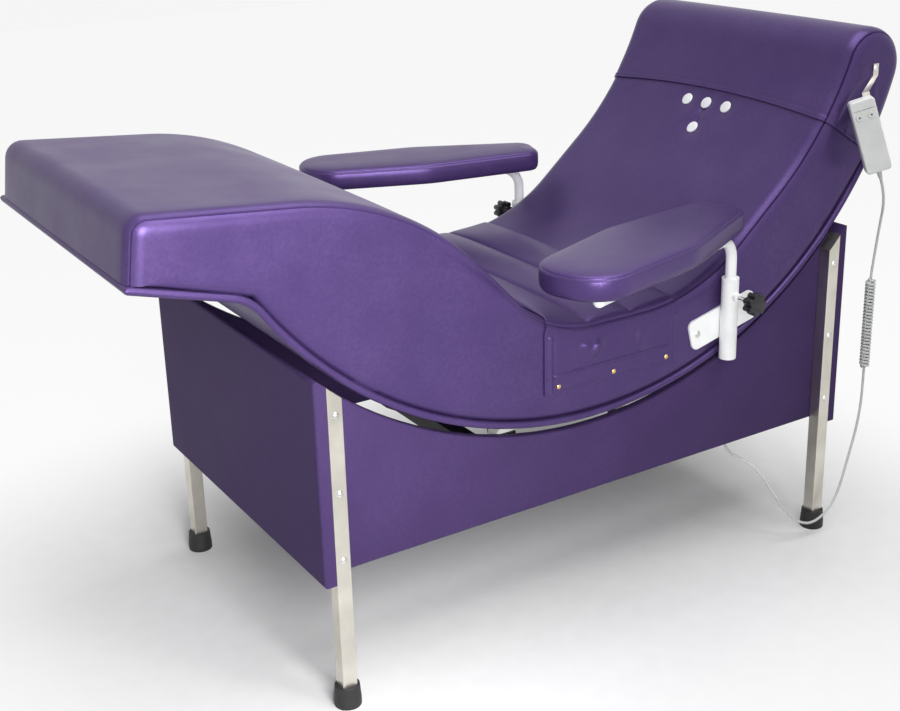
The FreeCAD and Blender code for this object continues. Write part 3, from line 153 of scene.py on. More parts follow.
def two_tone(tree, shader, factor, low, dark, high, light):
    """Colours the shader from dark to light while a factor goes from low to high."""
    ramp = add_node(tree, "ShaderNodeValToRGB", {"Fac": factor})
    for element, position, colour in zip(ramp.color_ramp.elements, (low, high), (dark, light)):
        element.position = position
        element.color = linear(colour)
    tree.links.new(ramp.outputs["Color"], shader.inputs["Base Color"])


def dressed(obj, material):
    """Gives an object one material in place of all that it had."""
    obj.data.materials.clear()
    obj.data.materials.append(material)


# %% [markdown]
# ## Pearl vinyl
# The couch is covered in upholstery vinyl: a PVC skin printed with a fine leather grain, with mica
# in its colour coat. The mica makes the cushions' vinyl half metallic, so it goes pale where it
# turns away from us and keeps its purple in the highlights. The base's panels get a darker, duller
# copy of the same vinyl, and its darker colour is painted shade. The grain is drawn about twice as
# coarse as the real 0.8 mm, as finer cells would vanish.

# %% Pearl vinyl
GRAIN = 0.0016
GRAIN_DEPTH = 0.0003
FLAKE = 3 * GRAIN
DRAG = 0.09
DRAG_DEPTH = 0.006


def pearl_vinyl(name, deep, pale, roughness, mica, sheen):
    """Grained cells over wide soft waves; flakes of mica mottle the two colours."""
    material, tree, shader = new_material(name, Metallic=mica, Specular_IOR_Level=sheen)
    place = object_coords(tree)
    cells = add_node(tree, "ShaderNodeTexVoronoi", {"Vector": place}, {"Scale": 1 / GRAIN})
    drag = noise(tree, place, DRAG, 3.0)
    flake = noise(tree, place, FLAKE, 2.0)
    mottle = add_node(tree, "ShaderNodeMath", {0: drag, 1: flake}, operation="MULTIPLY")
    two_tone(tree, shader, mottle.outputs["Value"], 0.1, deep, 0.45, pale)
    rough = add_node(
        tree, "ShaderNodeMapRange", {"Value": drag},
        {"From Min": 0.3, "From Max": 0.7, "To Min": roughness - 0.03, "To Max": roughness + 0.05},
    )
    tree.links.new(rough.outputs["Result"], shader.inputs["Roughness"])
    waves = bumped(tree, drag, 0.12, DRAG_DEPTH)
    grain = bumped(tree, cells.outputs["Distance"], 0.22, GRAIN_DEPTH, waves)
    tree.links.new(grain, shader.inputs["Normal"])
    return material


VINYL = pearl_vinyl("pearl_vinyl_purple", "#483767", "#52406F", 0.34, 0.5, 0.17)
# The base's copy of the same vinyl: darker and duller, with painted shade in its colour.
SHADED_PANEL_VINYL = pearl_vinyl("pearl_vinyl_panel", "#43345B", "#4A3A63", 0.42, 0.2, 0.01)
print("two vinyls with a grain of", GRAIN, "m")

# %% [markdown]
# ## Plain finishes
# Stainless tube is drawn with fine scratches along its length. Powder coat is a thick white paint
# with a slight orange peel. The moulded plastics and the rubber have a fine spark-eroded grain.

# %% Metal, paint, plastic and rubber
SCRATCH = 0.0004
SCRATCH_DEPTH = 0.0002
SCRATCH_STRETCH = 50
PATCH = 1 / 14
CLOUD = 0.04


def brushed_metal(name, dull, bright, roughness, along):
    """Polishing scratches, stretched along one axis of the object, over wide dull patches."""
    material, tree, shader = new_material(name, Metallic=1.0)
    place = object_coords(tree)
    stretch = [1.0, 1.0, 1.0]
    stretch[along] = 1 / SCRATCH_STRETCH
    drawn = add_node(tree, "ShaderNodeMapping", {"Vector": place}, {"Scale": stretch})
    scratch = noise(tree, drawn.outputs["Vector"], SCRATCH, 2.0)
    patch = noise(tree, place, PATCH, 3.0)
    two_tone(tree, shader, patch, 0.3, dull, 0.7, bright)
    rough = add_node(
        tree, "ShaderNodeMapRange", {"Value": scratch},
        {"To Min": roughness - 0.08, "To Max": roughness + 0.1},
    )
    tree.links.new(rough.outputs["Result"], shader.inputs["Roughness"])
    tree.links.new(bumped(tree, scratch, 0.1, SCRATCH_DEPTH), shader.inputs["Normal"])
    return material


def moulded(name, dark, light, roughness, grain, depth):
    """A plastic, rubber or paint: two near colours mottled together over a bump of one grain."""
    material, tree, shader = new_material(name, Roughness=roughness)
    place = object_coords(tree)
    cloud = noise(tree, place, CLOUD, 4.0)
    two_tone(tree, shader, cloud, 0.35, dark, 0.65, light)
    fine = noise(tree, place, grain, 1.0)
    tree.links.new(bumped(tree, fine, 0.3, depth), shader.inputs["Normal"])
    return material


STAINLESS = brushed_metal("brushed_stainless", "#C6C2B8", "#DEDAD0", 0.34, 2)
CHROME = brushed_metal("bright_steel", "#CFCFCD", "#E3E3E1", 0.16, 1)
BRASS = brushed_metal("brass", "#C89F55", "#E2C07A", 0.22, 0)
WHITE_COAT = moulded("white_powder_coat", "#E9EAEA", "#F1F2F2", 0.36, 0.0018, 0.0002)
# The steel parts inside the base are near black: painted shade for the dark inside of the base.
SHADE_BLACK_STEEL = moulded("black_painted_steel", "#0B0B0C", "#121213", 0.5, 0.0018, 0.0001)
BLACK_RUBBER = moulded("black_rubber", "#191919", "#242424", 0.62, 0.0010, 0.0003)
BLACK_PLASTIC = moulded("black_moulded_plastic", "#0E0E10", "#16161A", 0.33, 0.0008, 0.0001)
GREY_PLASTIC = moulded("light_grey_abs", "#DADCDA", "#E2E4E2", 0.45, 0.0008, 0.0001)
WHITE_PLASTIC = moulded("white_plastic", "#E6E7EA", "#EEEFF1", 0.3, 0.0010, 0.0001)
NYLON = moulded("white_nylon", "#E2E1DA", "#ECEBE4", 0.42, 0.0010, 0.0001)
CORD_PLASTIC = moulded("grey_pvc_cord", "#C4C6C6", "#D0D2D2", 0.46, 0.0012, 0.0001)
THREAD = moulded("polyester_thread", "#2A2040", "#362A50", 0.7, 0.0006, 0.0002)
print(len(bpy.data.materials), "materials")

# %% [markdown]
# ## Dressing the hard parts
# Most rigid CAD nodes already have the right shape, so they keep it and get a finish.

# %% Finishes for the CAD nodes
SIDES = ("left", "right")
CORNERS = ("front_left", "front_right", "rear_left", "rear_right")


def each(stem, places):
    return [stem + "_" + place for place in places]


FINISHES = (
    (STAINLESS, ["handset_hook", *each("leg", CORNERS)]),
    (CHROME, ["leg_screws", "fixing_screws", "actuator_rod", "roller_axles",
              *each("clamp_stud", SIDES)]),
    (WHITE_COAT, [*each("arm_bracket", SIDES), *each("arm_post", SIDES)]),
    # The base panels take the vinyl copy whose darker colour is painted shade.
    (SHADED_PANEL_VINYL, ["front_panel", "rear_panel"]),
    # Near black as painted shade for the inside of the base.
    (SHADE_BLACK_STEEL, ["roller_forks", "actuator_beam", "actuator_bracket", "couch_clevis",
                   *each("rail", SIDES), *each("roller_beam", ("front", "rear"))]),
    (BLACK_PLASTIC, ["actuator_motor", *each("arm_plug", SIDES)]),
    (GREY_PLASTIC, ["handset_case", "control_box", *each("handset_button", ("up", "down"))]),
    (NYLON, each("roller", CORNERS)),
    (BRASS, ["cover_studs"]),
    (CORD_PLASTIC, ["cord_gland", "handset_boot"]),
)
for finish, names in FINISHES:
    for name in names:
        dressed(nodes[name], finish)
print(sum(len(names) for finish, names in FINISHES), "nodes keep their CAD shape")

# %% [markdown]
# ## The handset's cord
# A curly cord is one length of PVC flex: straight out of the handset, wound on a mandrel for its
# middle stretch, then straight again in a loop that hangs to the base. One spline holds all of it.
# Its control points are the corners of the CAD tube's route, with the curl's turns in between. The
# spline is turned into a tube.

# %% Cord route
HANDSET_PLACE = Vector((0.6186, -0.340, 0.776))
HANDSET_YAW = radians(-35.0)
HANDSET_LEAN = radians(-18.0)
HANDSET_LENGTH = 0.136
BOOT_LENGTH = 0.016
CORD_DIAMETER = 0.005
CORD_LEAD = 0.034
CURL_PLACE = Vector((0.6565, -0.336, 0.0))
CURL_TOP = 0.512
CURL_BOTTOM = 0.312
CURL_LEAD = 0.010
CURL_RADIUS = 0.0074
CURL_TURNS = 28
POINTS_PER_TURN = 12
UPPER_ROUTE = ((0.6685, -0.336, 0.600),)
LOWER_ROUTE = (
    (0.6565, -0.336, 0.282), (0.6555, -0.336, 0.246), (0.6465, -0.3365, 0.196),
    (0.6315, -0.336, 0.145), (0.6115, -0.336, 0.078), (0.5865, -0.335, 0.041),
    (0.5455, -0.333, 0.024), (0.5085, -0.328, 0.039), (0.4775, -0.322, 0.074),
    (0.4485, -0.312, 0.124), (0.4225, -0.296, 0.172),
)
HANDSET_TURN = Matrix.Rotation(HANDSET_YAW, 4, "Z") @ Matrix.Rotation(HANDSET_LEAN, 4, "Y")
TO_HANDSET = Matrix.Translation(HANDSET_PLACE) @ HANDSET_TURN


def curl_point(turn):
    """The curl leaves the cord's own line over its first turn and comes back over its last."""
    ease = max(0.0, min(1.0, turn, CURL_TURNS - turn))
    radius = CURL_RADIUS * ease * ease * (3 - 2 * ease)
    angle = 2 * pi * turn
    drop = (CURL_TOP - CURL_BOTTOM - 2 * CURL_LEAD) * turn / CURL_TURNS
    height = CURL_TOP - CURL_LEAD - drop
    return CURL_PLACE + Vector((radius * cos(angle), radius * sin(angle), height))


gland_low, gland_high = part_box("cord_gland")
gland_tip = (gland_low + gland_high) / 2
gland_tip.z = gland_low.z
boot_end = -HANDSET_LENGTH / 2 - BOOT_LENGTH
boot_tip = TO_HANDSET @ Vector((0, 0, boot_end))
route = [boot_tip, TO_HANDSET @ Vector((0, 0, boot_end - CORD_LEAD))]
route += [Vector(p) for p in UPPER_ROUTE]
route.append(CURL_PLACE + Vector((0, 0, CURL_TOP)))
route += [curl_point(i / POINTS_PER_TURN) for i in range(CURL_TURNS * POINTS_PER_TURN + 1)]
route.append(CURL_PLACE + Vector((0, 0, CURL_BOTTOM)))
route += [Vector(p) for p in LOWER_ROUTE]
route += [gland_tip - Vector((0, 0, CORD_LEAD)), gland_tip]


# %% Cord tube
def select_only(*objects):
    bpy.ops.object.select_all(action="DESELECT")
    for obj in objects:
        obj.select_set(True)
    bpy.context.view_layer.objects.active = objects[0]


line = bpy.data.curves.new("handset_cord", "CURVE")
line.dimensions = "3D"
line.resolution_u = 4
spline = line.splines.new("NURBS")
spline.points.add(len(route) - 1)
for point, place in zip(spline.points, route):
    point.co = (*place, 1.0)
spline.order_u = 3
spline.use_endpoint_u = True
handset_cord = placed("handset_cord", line)
bpy.context.view_layer.update()
bare = bpy.data.meshes.new_from_object(handset_cord)
bpy.data.meshes.remove(bare)
line.bevel_depth = CORD_DIAMETER / 2
line.bevel_resolution = 2
line.use_fill_caps = True
select_only(handset_cord)
bpy.ops.object.convert(target="MESH")
bpy.ops.object.shade_smooth()
dressed(handset_cord, CORD_PLASTIC)
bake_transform(handset_cord)
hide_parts("cord_upper", "cord_curl", "cord_lower")

# %% [markdown]
# ## The handset's marks
# Each button is printed with a small arrow, and a fine parting line crosses the case above them.
# An arrow is a very low three-sided prism. The parting line is a thin black strip let into the face,
# and its black is painted shade that stands in for the shadow in the parting groove.

# %% Handset marks
HANDSET_WIDTH = 0.045
HANDSET_FACE = -0.011
HANDSET_ROUNDING = 0.004
BUTTON_PROUD = 0.0012
ARROW_RADIUS = 0.0027
PRINT_AND_SHADE_HEIGHT = 0.0003
PARTING_BELOW_TOP = 0.018
PARTING_WIDTH = 0.0007
PARTING_LENGTH = HANDSET_WIDTH - 2 * HANDSET_ROUNDING
MARK_PLACES = (("up", -0.0105, 0.0), ("down", 0.0105, pi))
MARK_HEIGHT = 0.038


def added(primitive, **settings):
    """Adds a primitive with nothing else selected."""
    bpy.ops.object.select_all(action="DESELECT")
    primitive(**settings)
    return bpy.context.object


def settled(mark, place, name, body):
    """Sets a mark on the handset's face and applies its place, turn and size."""
    mark.matrix_world = TO_HANDSET @ place
    mark.name = mark.data.name = name
    bpy.ops.object.transform_apply(location=True, rotation=True, scale=True)
    dressed(mark, BLACK_PLASTIC)
    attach(mark, body)


for way, x, turn in MARK_PLACES:
    arrow = added(
        bpy.ops.mesh.primitive_cylinder_add, vertices=3, radius=ARROW_RADIUS, depth=PRINT_AND_SHADE_HEIGHT,
    )
    on_face = Matrix.Translation((x, HANDSET_FACE - BUTTON_PROUD, MARK_HEIGHT))
    on_face = on_face @ Matrix.Rotation(pi / 2, 4, "X") @ Matrix.Rotation(turn, 4, "Z")
    settled(arrow, on_face, "handset_arrow_" + way, node_body["handset_button_" + way])
# The parting strip is black as painted shade for the groove between the case's halves.
parting = added(bpy.ops.mesh.primitive_cube_add, size=1)
on_face = Matrix.Translation((0, HANDSET_FACE, HANDSET_LENGTH / 2 - PARTING_BELOW_TOP))
on_face = on_face @ Matrix.Diagonal((PARTING_LENGTH, PRINT_AND_SHADE_HEIGHT, PARTING_WIDTH, 1))
settled(parting, on_face, "handset_parting", node_body["handset_case"])
print("two arrows and a parting line")

# %% [markdown]
# ## The side outline
# Everything upholstered follows one S-curve: up the foot end, over the knees, down into the seat,
# up the backrest and round the head roll. It is drawn as corners rounded by arcs, then walked in
# even steps, so each step knows its place and which way is out.

# %% Outline
ROCK = np.array([frame["joints"][0]["pos_m"][0], frame["joints"][0]["pos_m"][2]])
BOARD_RADIUS = 0.730
BOARD_THICKNESS = 0.012
CUSHION_RADIUS = BOARD_RADIUS - BOARD_THICKNESS
KNUCKLE_ANGLE = -56.3
FOOT_RISE = radians(15.4)
FOOT_END_X = -0.7313
FOOT_TOP = np.array([-0.7163, 0.838])
FOOT_TOP_RADIUS = 0.022
KNEE = np.array([-0.302, 0.801])
SEAT_FRONT = np.array([-0.0455, 0.529])
SEAT_BACK = np.array([0.271, 0.529])
BACK_BEND_FROM_BOLSTER = np.array([-0.1095, -0.111])
BACK_BEND_RADIUS = 0.581
BEND_RADII = (FOOT_TOP_RADIUS, 0.477, 0.202, 0.337, BACK_BEND_RADIUS)
BOLSTER_RADIUS = 0.059
BOLSTER_HEIGHT = 0.886
BOARD_HEAD_ANGLE = 62.5
WALK = 0.002


def unit(v):
    return v / norm(v)


def heading(angle):
    return np.array([cos(radians(angle)), sin(radians(angle))])


def left_of(way):
    return np.array([-way[1], way[0]])


def on_rock(radius, angle):
    """Place on a circle about the rocking centre, counted from straight down towards the head."""
    return ROCK + radius * heading(angle - 90)


def straight(start, end):
    steps = max(2, int(norm(end - start) / WALK))
    return [start + (end - start) * t for t in np.linspace(0, 1, steps, endpoint=False)]


def arc(centre, start, end):
    """The shorter way round a centre from one point to another."""
    first = atan2(*(start - centre)[::-1])
    sweep = (atan2(*(end - centre)[::-1]) - first + pi) % (2 * pi) - pi
    radius = norm(start - centre)
    steps = max(4, int(abs(sweep) * radius / WALK))
    turns = np.linspace(first, first + sweep, steps, endpoint=False)
    return [centre + radius * np.array([cos(a), sin(a)]) for a in turns]


def rounded(corners, radii):
    """Straight runs, with an arc of its own radius at each inner corner."""
    walked = []
    here = corners[0]
    for before, corner, after, radius in zip(corners, corners[1:], corners[2:], radii):
        u, w = unit(before - corner), unit(after - corner)
        half = acos(float(np.clip(u @ w, -1, 1))) / 2
        reach = radius / tan(half)
        centre = corner + unit(u + w) * radius / sin(half)
        turn_in, turn_out = corner + u * reach, corner + w * reach
        walked += straight(here, turn_in) + arc(centre, turn_in, turn_out)
        here = turn_out
    return walked + straight(here, corners[-1])


knuckle = on_rock(BOARD_RADIUS, KNUCKLE_ANGLE)
foot_way = np.array([-cos(FOOT_RISE), sin(FOOT_RISE)])
foot_under = knuckle + foot_way * (FOOT_END_X - knuckle[0]) / foot_way[0]
foot_inward = -left_of(foot_way)
foot_seat = foot_under + BOARD_THICKNESS * foot_inward
bolster_arc = CUSHION_RADIUS - BOLSTER_RADIUS
bolster_reach = sqrt(bolster_arc ** 2 - (ROCK[1] - BOLSTER_HEIGHT) ** 2)
bolster = np.array([ROCK[0] + bolster_reach, BOLSTER_HEIGHT])
bolster_angle = degrees(atan2(bolster[0] - ROCK[0], ROCK[1] - bolster[1]))
back_bend = bolster + BACK_BEND_FROM_BOLSTER
to_bolster = -BACK_BEND_FROM_BOLSTER
back_lean = asin(BOLSTER_RADIUS / norm(to_bolster))
back_angle = degrees(atan2(to_bolster[1], to_bolster[0]) + back_lean)
bolster_start = bolster + BOLSTER_RADIUS * heading(back_angle + 90)
bolster_end = bolster + BOLSTER_RADIUS * heading(bolster_angle - 90)
head_end = on_rock(CUSHION_RADIUS, BOARD_HEAD_ANGLE)
corners = [foot_seat, FOOT_TOP, KNEE, SEAT_FRONT, SEAT_BACK, back_bend, bolster_start]
outline = rounded(corners, BEND_RADII) + arc(bolster, bolster_start, bolster_end)
outline = np.array(outline + arc(ROCK, bolster_end, head_end) + [head_end])


def way_along(line):
    """How far along a line each of its points is."""
    return np.concatenate([[0], np.cumsum(norm(np.diff(line, axis=0), axis=1))])


def place_at(distance, line, way):
    return np.array([np.interp(distance, way, line[:, i]) for i in (0, 1)])


walked_to = way_along(outline)
outline_length = walked_to[-1]
print("outline", round(outline_length, 3), "m")


def outline_at(distance):
    """Place on the outline and its outward direction, that far from the foot end's lower edge."""
    near = (distance, max(distance - WALK, 0.0), min(distance + WALK, outline_length))
    place, before, after = [place_at(d, outline, walked_to) for d in near]
    return place, left_of(unit(after - before))


def distance_where(test):
    """How far along the outline its first walked point passes a test."""
    return walked_to[next(i for i, p in enumerate(outline) if test(p))]


back_way = heading(back_angle)
back_turn = acos(float(unit(back_bend - SEAT_BACK) @ back_way))
bend_reach = BACK_BEND_RADIUS * tan(back_turn / 2)
bend_end = distance_where(lambda p: (p - back_bend) @ back_way > bend_reach)

# %% [markdown]
# ## Grids that become cushions
# A sewn cover is a few panels of sheet. Each panel starts as a grid primitive whose corners are
# moved to their places, and panels that are sewn together are joined and merged along the seam.

# %% Panel helpers
HALF_WIDTH = 0.300


def panel(places):
    """A grid primitive with one corner for each place in a list of rows."""
    rows, columns = len(places), len(places[0])
    made = added(bpy.ops.mesh.primitive_grid_add, size=1,
                 x_subdivisions=columns - 1, y_subdivisions=rows - 1)
    flat = [place for row in places for place in row]
    made.data.vertices.foreach_set("co", np.array(flat, dtype=np.float32).ravel())
    made.data.update()
    return made


def joined(name, pieces):
    select_only(*pieces)
    bpy.ops.object.join()
    made = bpy.context.object
    made.name = made.data.name = name
    return made


def sewn(name, *panels, closed=True):
    """Joins panels, merges their edges, closes the open ends and turns the faces outwards."""
    made = joined(name, panels)
    bpy.ops.object.mode_set(mode="EDIT")
    bpy.ops.mesh.select_all(action="SELECT")
    bpy.ops.mesh.remove_doubles(threshold=0.0002)
    if closed:
        bpy.ops.mesh.fill_holes(sides=0)
    bpy.ops.mesh.normals_make_consistent(inside=False)
    bpy.ops.object.mode_set(mode="OBJECT")
    return made


def modified(obj, kind, **settings):
    """Adds a modifier, sets it and applies it."""
    select_only(obj)
    modifier = obj.modifiers.new(kind.lower(), kind)
    for name, value in settings.items():
        setattr(modifier, name, value)
    bpy.ops.object.modifier_apply(modifier=modifier.name)


def smooth(obj, angle=180.0):
    select_only(obj)
    bpy.ops.object.shade_smooth_by_angle(angle=radians(angle))


def upholstered(piece, angle, body, node):
    """Smooths a vinyl piece and puts it on its body, in the place of its CAD node."""
    smooth(piece, angle)
    dressed(piece, VINYL)
    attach(piece, body)
    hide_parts(node)


# %% [markdown]
# ## The mattress
# The mattress is one foam block in a fitted cover: a long top panel that also wraps the foot end,
# and a side band on each side, joined by a seam along the rounded edge. The top is crowned across
# its width and dimpled by the backrest's buttons, where its rows are closest. The seam pulls a fine
# groove into the edge, and the bottom is drawn in where it is tacked.

# %% Mattress sections
EDGE_RADIUS = 0.024
FLAT_HALF = HALF_WIDTH - EDGE_RADIUS
EDGE_CROWN = 0.007
MIDDLE_CROWN = 0.008
SEAM_ANGLE = 45.0
SEAM_HALF_WIDTH = 4.5
SEAM_DEPTH = 0.0024
SEAM_ANGLES = (SEAM_ANGLE - SEAM_HALF_WIDTH, SEAM_ANGLE, SEAM_ANGLE + SEAM_HALF_WIDTH)
EDGE_ANGLES = (0, 15, 30, *SEAM_ANGLES, 60, 75, 90)
BUTTON_AREA = 0.30
ACROSS_SHARES = [*np.linspace(1, BUTTON_AREA + 0.02, 11), *np.linspace(BUTTON_AREA, 0, 20)]
BAND_ROWS = (0.0, 0.03, 0.07, 0.14, 0.25, 0.38, 0.52, 0.66, 0.8, 0.91, 1.0)
TUCK = (0.007, 0.003, 0.0008)
STATION = 0.006


def edge_spot(angle, ease):
    """Half width and height on the rounded edge, from its side (0 degrees) to its top (90)."""
    radius = EDGE_RADIUS + ease
    across = FLAT_HALF + radius * cos(radians(angle))
    return across, EDGE_CROWN - EDGE_RADIUS + radius * sin(radians(angle))


def section(edge_ease, top_ease):
    """A line across, side to side, as (place across, height above the outline)."""
    half = []
    for angle in EDGE_ANGLES:
        pinch = SEAM_DEPTH if angle == SEAM_ANGLE else 0.0
        half.append(edge_spot(angle, edge_ease(angle / 90) - pinch))
    for share in ACROSS_SHARES[1:]:
        crown = EDGE_CROWN + (MIDDLE_CROWN - EDGE_CROWN) * (1 - share ** 4) ** 2
        half.append((FLAT_HALF * share, crown + top_ease(share)))
    return [(-y, h) for y, h in half] + [(y, h) for y, h in reversed(half[:-1])]


def even_section(ease):
    return section(lambda turned: ease, lambda share: ease)


def over_couch(distance, across, height):
    """A place above the outline."""
    place, out = outline_at(distance)
    x, z = place + out * height
    return (x, across, z)


BUTTONS_BELOW_BEND = (0.134, 0.189)
BUTTON_PITCH = 0.054
button_row, button_low = [bend_end - below for below in BUTTONS_BELOW_BEND]
button_spots = [(button_row, y) for y in (-BUTTON_PITCH, 0.0, BUTTON_PITCH)] + [(button_low, 0.0)]
DIMPLE_DEPTH = 0.0045
DIMPLE_RADIUS = 0.021
CREASE_DEPTH = 0.0030
CREASE_HALF_WIDTH = 0.006


def dimple(distance, across):
    """How deep the buttons pull the cover in: a dish under each and a crease between two."""
    depth = 0.0
    for d, y in button_spots:
        away = hypot(distance - d, across - y)
        depth = max(depth, DIMPLE_DEPTH * exp(-(away / DIMPLE_RADIUS) ** 2))
    middle, reach = (button_row + button_low) / 2, (button_row - button_low) / 2
    fade = exp(-((distance - middle) / reach) ** 4)
    return depth + CREASE_DEPTH * fade * exp(-(across / CREASE_HALF_WIDTH) ** 2)


def edge_line(side, angle, ease, distances):
    """A line along the rounded edge of one side."""
    across, height = edge_spot(angle, ease)
    return [over_couch(d, side * across, height) for d in distances]


def top_panel(distances, eases):
    """The panel over the top: one row for each distance along the outline, with its own ease."""
    rows = []
    for d, ease in zip(distances, eases):
        rows.append([over_couch(d, y, h - dimple(d, y)) for y, h in even_section(ease)])
    return panel(rows)


def side_edge(distance):
    """Where the rounded edge ends and the side band starts."""
    x, y, z = over_couch(distance, 0.0, EDGE_CROWN - EDGE_RADIUS)
    return np.array([x, z])


# %% Mattress panels
BAND_FOLLOWS_FROM = -50.0
BAND_FOLLOWS_TO = 30.0
BOW_FADE = 3
foot_corner = distance_where(lambda p: p[0] + FOOT_TOP[1] - p[1] > FOOT_TOP[0])
band_tucks = [*TUCK] + [0.0] * (len(BAND_ROWS) - len(TUCK))
foot_rows = [foot_corner * share for share in BAND_ROWS]
steps = int((outline_length - foot_corner) / STATION)
stations = foot_rows + list(np.linspace(foot_corner, outline_length, steps + 1))[1:]
eases = [-tuck for tuck in band_tucks] + [0.0] * steps
cover_top = top_panel(stations, eases)
foot_column = [side_edge(d) for d in foot_rows]
band_top = [side_edge(d) for d in stations[len(foot_rows) - 1:]]
inner_knuckle = on_rock(CUSHION_RADIUS, KNUCKLE_ANGLE)
to_knuckle = norm(inner_knuckle - foot_column[0])
past_knuckle = CUSHION_RADIUS * radians(BAND_FOLLOWS_FROM - KNUCKLE_ANGLE)


def board_seat(walked):
    """Where the band meets the board, that far from the foot end."""
    if walked < to_knuckle:
        return foot_column[0] + (inner_knuckle - foot_column[0]) * walked / to_knuckle
    past = degrees((walked - to_knuckle) / CUSHION_RADIUS)
    return on_rock(CUSHION_RADIUS, KNUCKLE_ANGLE + past)


rock_angles = [degrees(atan2(p[0] - ROCK[0], ROCK[1] - p[1])) for p in band_top]
follow_from = next(i for i, a in enumerate(rock_angles) if a > BAND_FOLLOWS_FROM)
follow_to = next(i for i, a in enumerate(rock_angles) if a > BAND_FOLLOWS_TO)
fixed_run = to_knuckle + past_knuckle
band_bottom = [board_seat(fixed_run * i / follow_from) for i in range(follow_from)]
band_bottom += [on_rock(CUSHION_RADIUS, a) for a in rock_angles[follow_from:follow_to]]
head_fan = np.linspace(rock_angles[follow_to], BOARD_HEAD_ANGLE, len(rock_angles) - follow_to)
band_bottom += [on_rock(CUSHION_RADIUS, a) for a in head_fan]


def side_band(side):
    """Straight from the board to the rounded edge; the foot end's own curve fades out along it."""
    rows = []
    for share, tuck, foot in zip(BAND_ROWS, band_tucks, foot_column):
        bow = foot - (band_bottom[0] * (1 - share) + band_top[0] * share)
        row = []
        for i, (low, high) in enumerate(zip(band_bottom, band_top)):
            x, z = low * (1 - share) + high * share + bow * exp(-i / BOW_FADE)
            row.append((x, side * (HALF_WIDTH - tuck), z))
        rows.append(row)
    return panel(rows)


def underside():
    width = HALF_WIDTH - TUCK[0]
    return panel([[(x, y, z) for y in (-width, width)] for x, z in band_bottom])


# %% Mattress
mattress = sewn("mattress_cover", cover_top, side_band(-1), side_band(1), underside())
upholstered(mattress, 60, "couch", "mattress")
print("mattress", len(mattress.data.polygons), "faces")

# %% [markdown]
# ## Stitching
# A row of thread runs beside each seam. One stitch is a small rounded rod. An Array modifier
# repeats it along a curve that lies on the cover, and a Curve modifier bends the row to it.

# %% Stitches
STITCH_LENGTH = 0.0036
STITCH_PITCH = 0.0050
STITCH_THICKNESS = 0.0011


def stitch_row(places):
    """A row of stitches along a line of places."""
    path = bpy.data.curves.new("stitch_path", "CURVE")
    path.dimensions = "3D"
    run = path.splines.new("POLY")
    run.points.add(len(places) - 1)
    for point, place in zip(run.points, places):
        point.co = (*place, 1.0)
    guide = placed("stitch_path", path)
    row = added(
        bpy.ops.mesh.primitive_uv_sphere_add, segments=6, ring_count=4,
        radius=STITCH_THICKNESS / 2, rotation=(0, pi / 2, 0),
    )
    bpy.ops.object.transform_apply(location=False, rotation=True, scale=False)
    for vertex in row.data.vertices:
        if vertex.co.x:
            vertex.co.x += copysign((STITCH_LENGTH - STITCH_THICKNESS) / 2, vertex.co.x)
    modified(row, "ARRAY", fit_type="FIT_CURVE", curve=guide, use_relative_offset=False,
             use_constant_offset=True, constant_offset_displace=(STITCH_PITCH, 0, 0))
    modified(row, "CURVE", object=guide, deform_axis="POS_X")
    bpy.data.objects.remove(guide)
    return row


def thread(name, body, paths):
    """All the stitches of one piece, as one object."""
    made = joined(name, [stitch_row(places) for places in paths])
    smooth(made)
    dressed(made, THREAD)
    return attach(made, body)


# %% Mattress seams
STITCH_ANGLE = SEAM_ANGLE + 8.0
STITCH_SINK = 0.0001
seam_paths = [edge_line(side, STITCH_ANGLE, -STITCH_SINK, stations[2:]) for side in (-1, 1)]
mattress_thread = thread("mattress_thread", "couch", seam_paths)
print("mattress thread", len(mattress_thread.data.polygons), "faces")

# %% [markdown]
# ## The board's wrapped edge
# The curved plywood board is wrapped in the same vinyl before the mattress goes on, so the lower
# edge shows as a soft roll along the couch and round its foot end. The section is a flat bar with
# half-round edges, which thins out at the foot.

# %% Couch board
KNUCKLE_BEND = 0.05
ROLL_PROUD = 0.003
FOOT_PROUD = 0.002
ROLL_STEPS = 8
FOOT_TURNS = (80, 55, 30, 0)
WALKED_PER_ROW = 5
roll = BOARD_THICKNESS / 2
board_section = []
for side in (1, -1):
    for turn in np.linspace(-90, 90, ROLL_STEPS + 1):
        dy, dh = roll * heading(turn)
        board_section.append((side * (HALF_WIDTH + ROLL_PROUD - roll + dy), side * dh - roll))
board_section.append(board_section[0])
knuckle_turn = radians(-KNUCKLE_ANGLE) - FOOT_RISE
arc_start = on_rock(BOARD_RADIUS, KNUCKLE_ANGLE + degrees(KNUCKLE_BEND / BOARD_RADIUS))
knuckle_radius = KNUCKLE_BEND / 2 / tan(knuckle_turn / 2)
board_line = rounded([foot_under, knuckle, arc_start], [knuckle_radius])
board_line += arc(ROCK, arc_start, on_rock(BOARD_RADIUS, BOARD_HEAD_ANGLE))
board_line = np.array(board_line)[::WALKED_PER_ROW]


def board_row(place, inward, thin=1.0):
    """The board's section at a place on its underside, thinned about its middle."""
    row = []
    for y, depth in board_section:
        x, z = place + inward * (roll - (depth + roll) * thin)
        row.append((x, y, z))
    return row


board_rows = []
for turn in FOOT_TURNS:
    thin, reach = heading(turn)
    foot_place = foot_under + foot_way * (FOOT_PROUD + roll * reach)
    board_rows.append(board_row(foot_place, foot_inward, thin))
for place, ahead in zip(board_line, np.gradient(board_line, axis=0)):
    board_rows.append(board_row(place, left_of(unit(ahead))))
board = sewn("board_wrap", panel(board_rows))
upholstered(board, 50, "couch", "couch_board")
print("board", len(board.data.polygons), "faces")

# %% [markdown]
# ## The head cover
# A pillowcase of the same vinyl is pulled over the head roll to keep it clean. It is the top panel
# again, a little larger, with a creased cheek down each side. The hem sags towards the sides. It is
# folded twice and stitched, so it stands proud, with a fine groove at the stitching.

